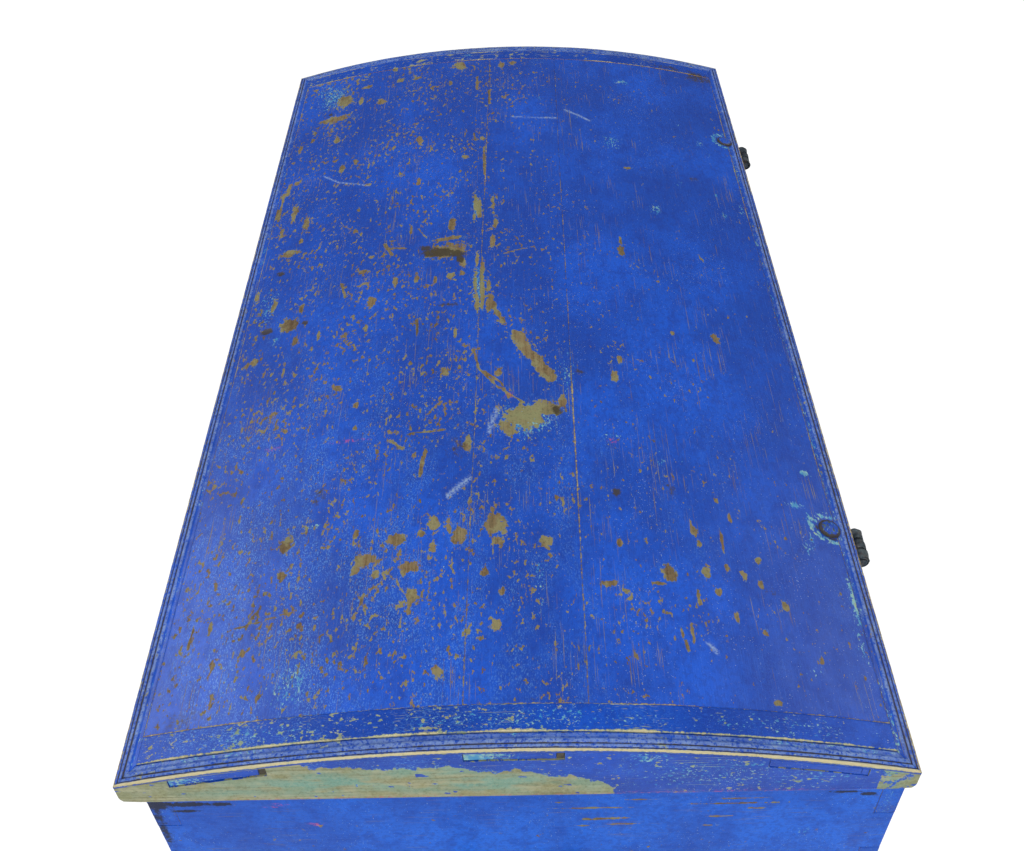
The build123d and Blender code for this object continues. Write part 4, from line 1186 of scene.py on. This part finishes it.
for index, end in enumerate(("right", "left")):
    dressed(f"body_hinge_leaf_{end}", "carcass", IRON, 1.6, (2.0, 0, 4.0), 251 + index,
            wobble=0.4, smooth=True, reshape=knobbly(261 + index))
    dressed(f"lid_hinge_strap_{end}", "lid", IRON, 1.2, (2.0, 4.0, 0), 253 + index,
            wobble=0.3, smooth=True, reshape=knobbly(263 + index))
    dressed(f"handle_plate_{end}", "carcass", IRON, 0.4, (0, 6.0, 6.0), 255, wobble=0.2)

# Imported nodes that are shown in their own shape
DARK_NODES = (
    "lock_case", "lock_nails", "key_escutcheon", "escutcheon_pins", "hinge_pin_right", "hinge_pin_left",
    "hinge_leaf_nails", "handle_eyes_right", "handle_eyes_left", "floor_nails", "lid_strap_nails",
    "lid_staple",
)
RUBBED_NODES = ("handle_bail_right", "handle_bail_left", "key", "lock_bolt")
for nodes, iron in ((DARK_NODES, IRON), (RUBBED_NODES, IRON_LIGHT)):
    for node in nodes:
        for shown_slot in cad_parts[node].material_slots:
            shown_slot.material = iron

RIVET_PAINT = painted_wood("painted_rivet", 0, 29.0, tones((28, 32, 38), (44, 50, 58), (70, 78, 84)),
                           stain=CROSS_STAIN)
# The rivet head is darker beyond this radius: painted shade round its edge in the recess
RIVET_RIM = 7.2
rivets = dressed("hinge_rivets", "lid", RIVET_PAINT, 0.5, (2.0, 2.0, 0), 271,
                 wobble=0.1, rub=0.9, old=0.5, smooth=True)
set_field(rivets, "dark", np.clip((rivet_distance(points_of(rivets)) - RIVET_RIM) / 2.0, 0, 1))


# Stage, light and camera

# Sky: the heights between which it changes, its strength below and above them, and the backdrop's
SKY_LOW = 0.35
SKY_HIGH = 0.95
SKY_DIM = 0.22
SKY_BRIGHT = 0.97
BACKDROP = 1.15

# Floor: half its width and its gap under the trunk in metres, its tone, its glow and the glow's share
FLOOR_REACH = 30.0
FLOOR_DROP = 0.0005
FLOOR_GREY = (0.86, 0.86, 0.86, 1)
FLOOR_GLOW = 1.12
GLOW_SHARE = 0.8

# How far the camera sees, in metres
CAMERA_REACH = 100.0

# Area lamps in metres: name, place, target, width and height, watts
LAMPS = (
    ("left_bank", (-1.0, -2.4, 2.5), (0.3, -0.2, 0.5), (1.6, 1.3), 40),
    ("right_bank", (-1.0, 2.4, 2.6), (0.3, 0.2, 0.5), (1.5, 1.2), 22),
    ("near_bank", (3.0, 0.2, 2.1), (0.4, 0, 0.4), (1.8, 1.2), 66),
)


def soft_light(name, place, target, size, power):
    lamp = bpy.data.lights.new(name, "AREA")
    lamp.shape = "RECTANGLE"
    lamp.size, lamp.size_y = size
    lamp.energy = power
    holder = placed(name, lamp)
    holder.location = place
    holder.rotation_euler = (Vector(target) - Vector(place)).to_track_quat("-Z", "Y").to_euler()


def make_floor():
    """A pale floor that shows mostly white to the camera and lies just under the trunk."""
    n = Nodes("pale_floor")
    tree = n.tree
    matte = tree.nodes.new("ShaderNodeBsdfDiffuse")
    matte.inputs["Color"].default_value = FLOOR_GREY
    white = tree.nodes.new("ShaderNodeEmission")
    white.inputs["Color"].default_value = (1, 1, 1, 1)
    white.inputs["Strength"].default_value = FLOOR_GLOW
    path = tree.nodes.new("ShaderNodeLightPath")
    blend = tree.nodes.new("ShaderNodeMixShader")
    tree.links.new(n.times(path.outputs["Is Camera Ray"], GLOW_SHARE), blend.inputs[0])
    tree.links.new(matte.outputs[0], blend.inputs[1])
    tree.links.new(white.outputs[0], blend.inputs[2])
    tree.links.new(blend.outputs[0], n.output.inputs["Surface"])
    mesh = bpy.data.meshes.new("floor")
    corners = [(x * FLOOR_REACH, y * FLOOR_REACH, 0) for x, y in ((-1, -1), (1, -1), (1, 1), (-1, 1))]
    mesh.from_pydata(corners, [], [(0, 1, 2, 3)])
    floor = placed("floor", mesh)
    floor.location.z = -FLOOR_DROP
    mesh.materials.append(n.material)


def make_world():
    """White behind the trunk, and a sky that is dim near the horizon for everything else."""
    world = bpy.data.worlds.new("soft_sky")
    world.use_nodes = True
    tree = world.node_tree
    background = tree.nodes["Background"]
    background.inputs["Color"].default_value = (1, 1, 1, 1)
    path = tree.nodes.new("ShaderNodeLightPath")
    split = tree.nodes.new("ShaderNodeSeparateXYZ")
    tree.links.new(tree.nodes.new("ShaderNodeTexCoord").outputs["Generated"], split.inputs[0])
    sky = tree.nodes.new("ShaderNodeMapRange")
    sky.interpolation_type = "SMOOTHSTEP"
    tree.links.new(split.outputs["Z"], sky.inputs["Value"])
    sky.inputs["From Min"].default_value = SKY_LOW
    sky.inputs["From Max"].default_value = SKY_HIGH
    sky.inputs["To Min"].default_value = SKY_DIM
    sky.inputs["To Max"].default_value = SKY_BRIGHT
    level = tree.nodes.new("ShaderNodeMix")
    level.data_type = "FLOAT"
    tree.links.new(sky.outputs["Result"], level.inputs["A"])
    level.inputs["B"].default_value = BACKDROP
    tree.links.new(path.outputs["Is Camera Ray"], level.inputs["Factor"])
    tree.links.new(level.outputs["Result"], background.inputs["Strength"])
    bpy.context.scene.world = world


def make_camera():
    pitch, yaw, roll = (math.radians(a) for a in (CAMERA_PITCH, CAMERA_YAW, CAMERA_ROLL))
    forward = Vector((-math.cos(pitch) * math.cos(yaw), math.cos(pitch) * math.sin(yaw), -math.sin(pitch)))
    right = forward.cross(Vector((0, 0, 1))).normalized()
    up = right.cross(forward)
    turned_right = right * math.cos(roll) + up * math.sin(roll)
    turned_up = up * math.cos(roll) - right * math.sin(roll)
    axes = Matrix((turned_right, turned_up, -forward)).transposed().to_4x4()
    data = bpy.data.cameras.new("photo_camera")
    data.sensor_width = SENSOR_WIDTH
    data.lens = data.sensor_width * CAMERA_FOCAL_PIXELS / IMAGE_WIDTH
    data.clip_end = CAMERA_REACH
    camera = placed("photo_camera", data)
    camera.matrix_world = Matrix.Translation(Vector(CAMERA_PLACE) * MM) @ axes
    bpy.context.scene.camera = camera


make_floor()
make_world()
make_camera()
for lamp in LAMPS:
    soft_light(*lamp)
bpy.context.scene.view_settings.view_transform = "Standard"
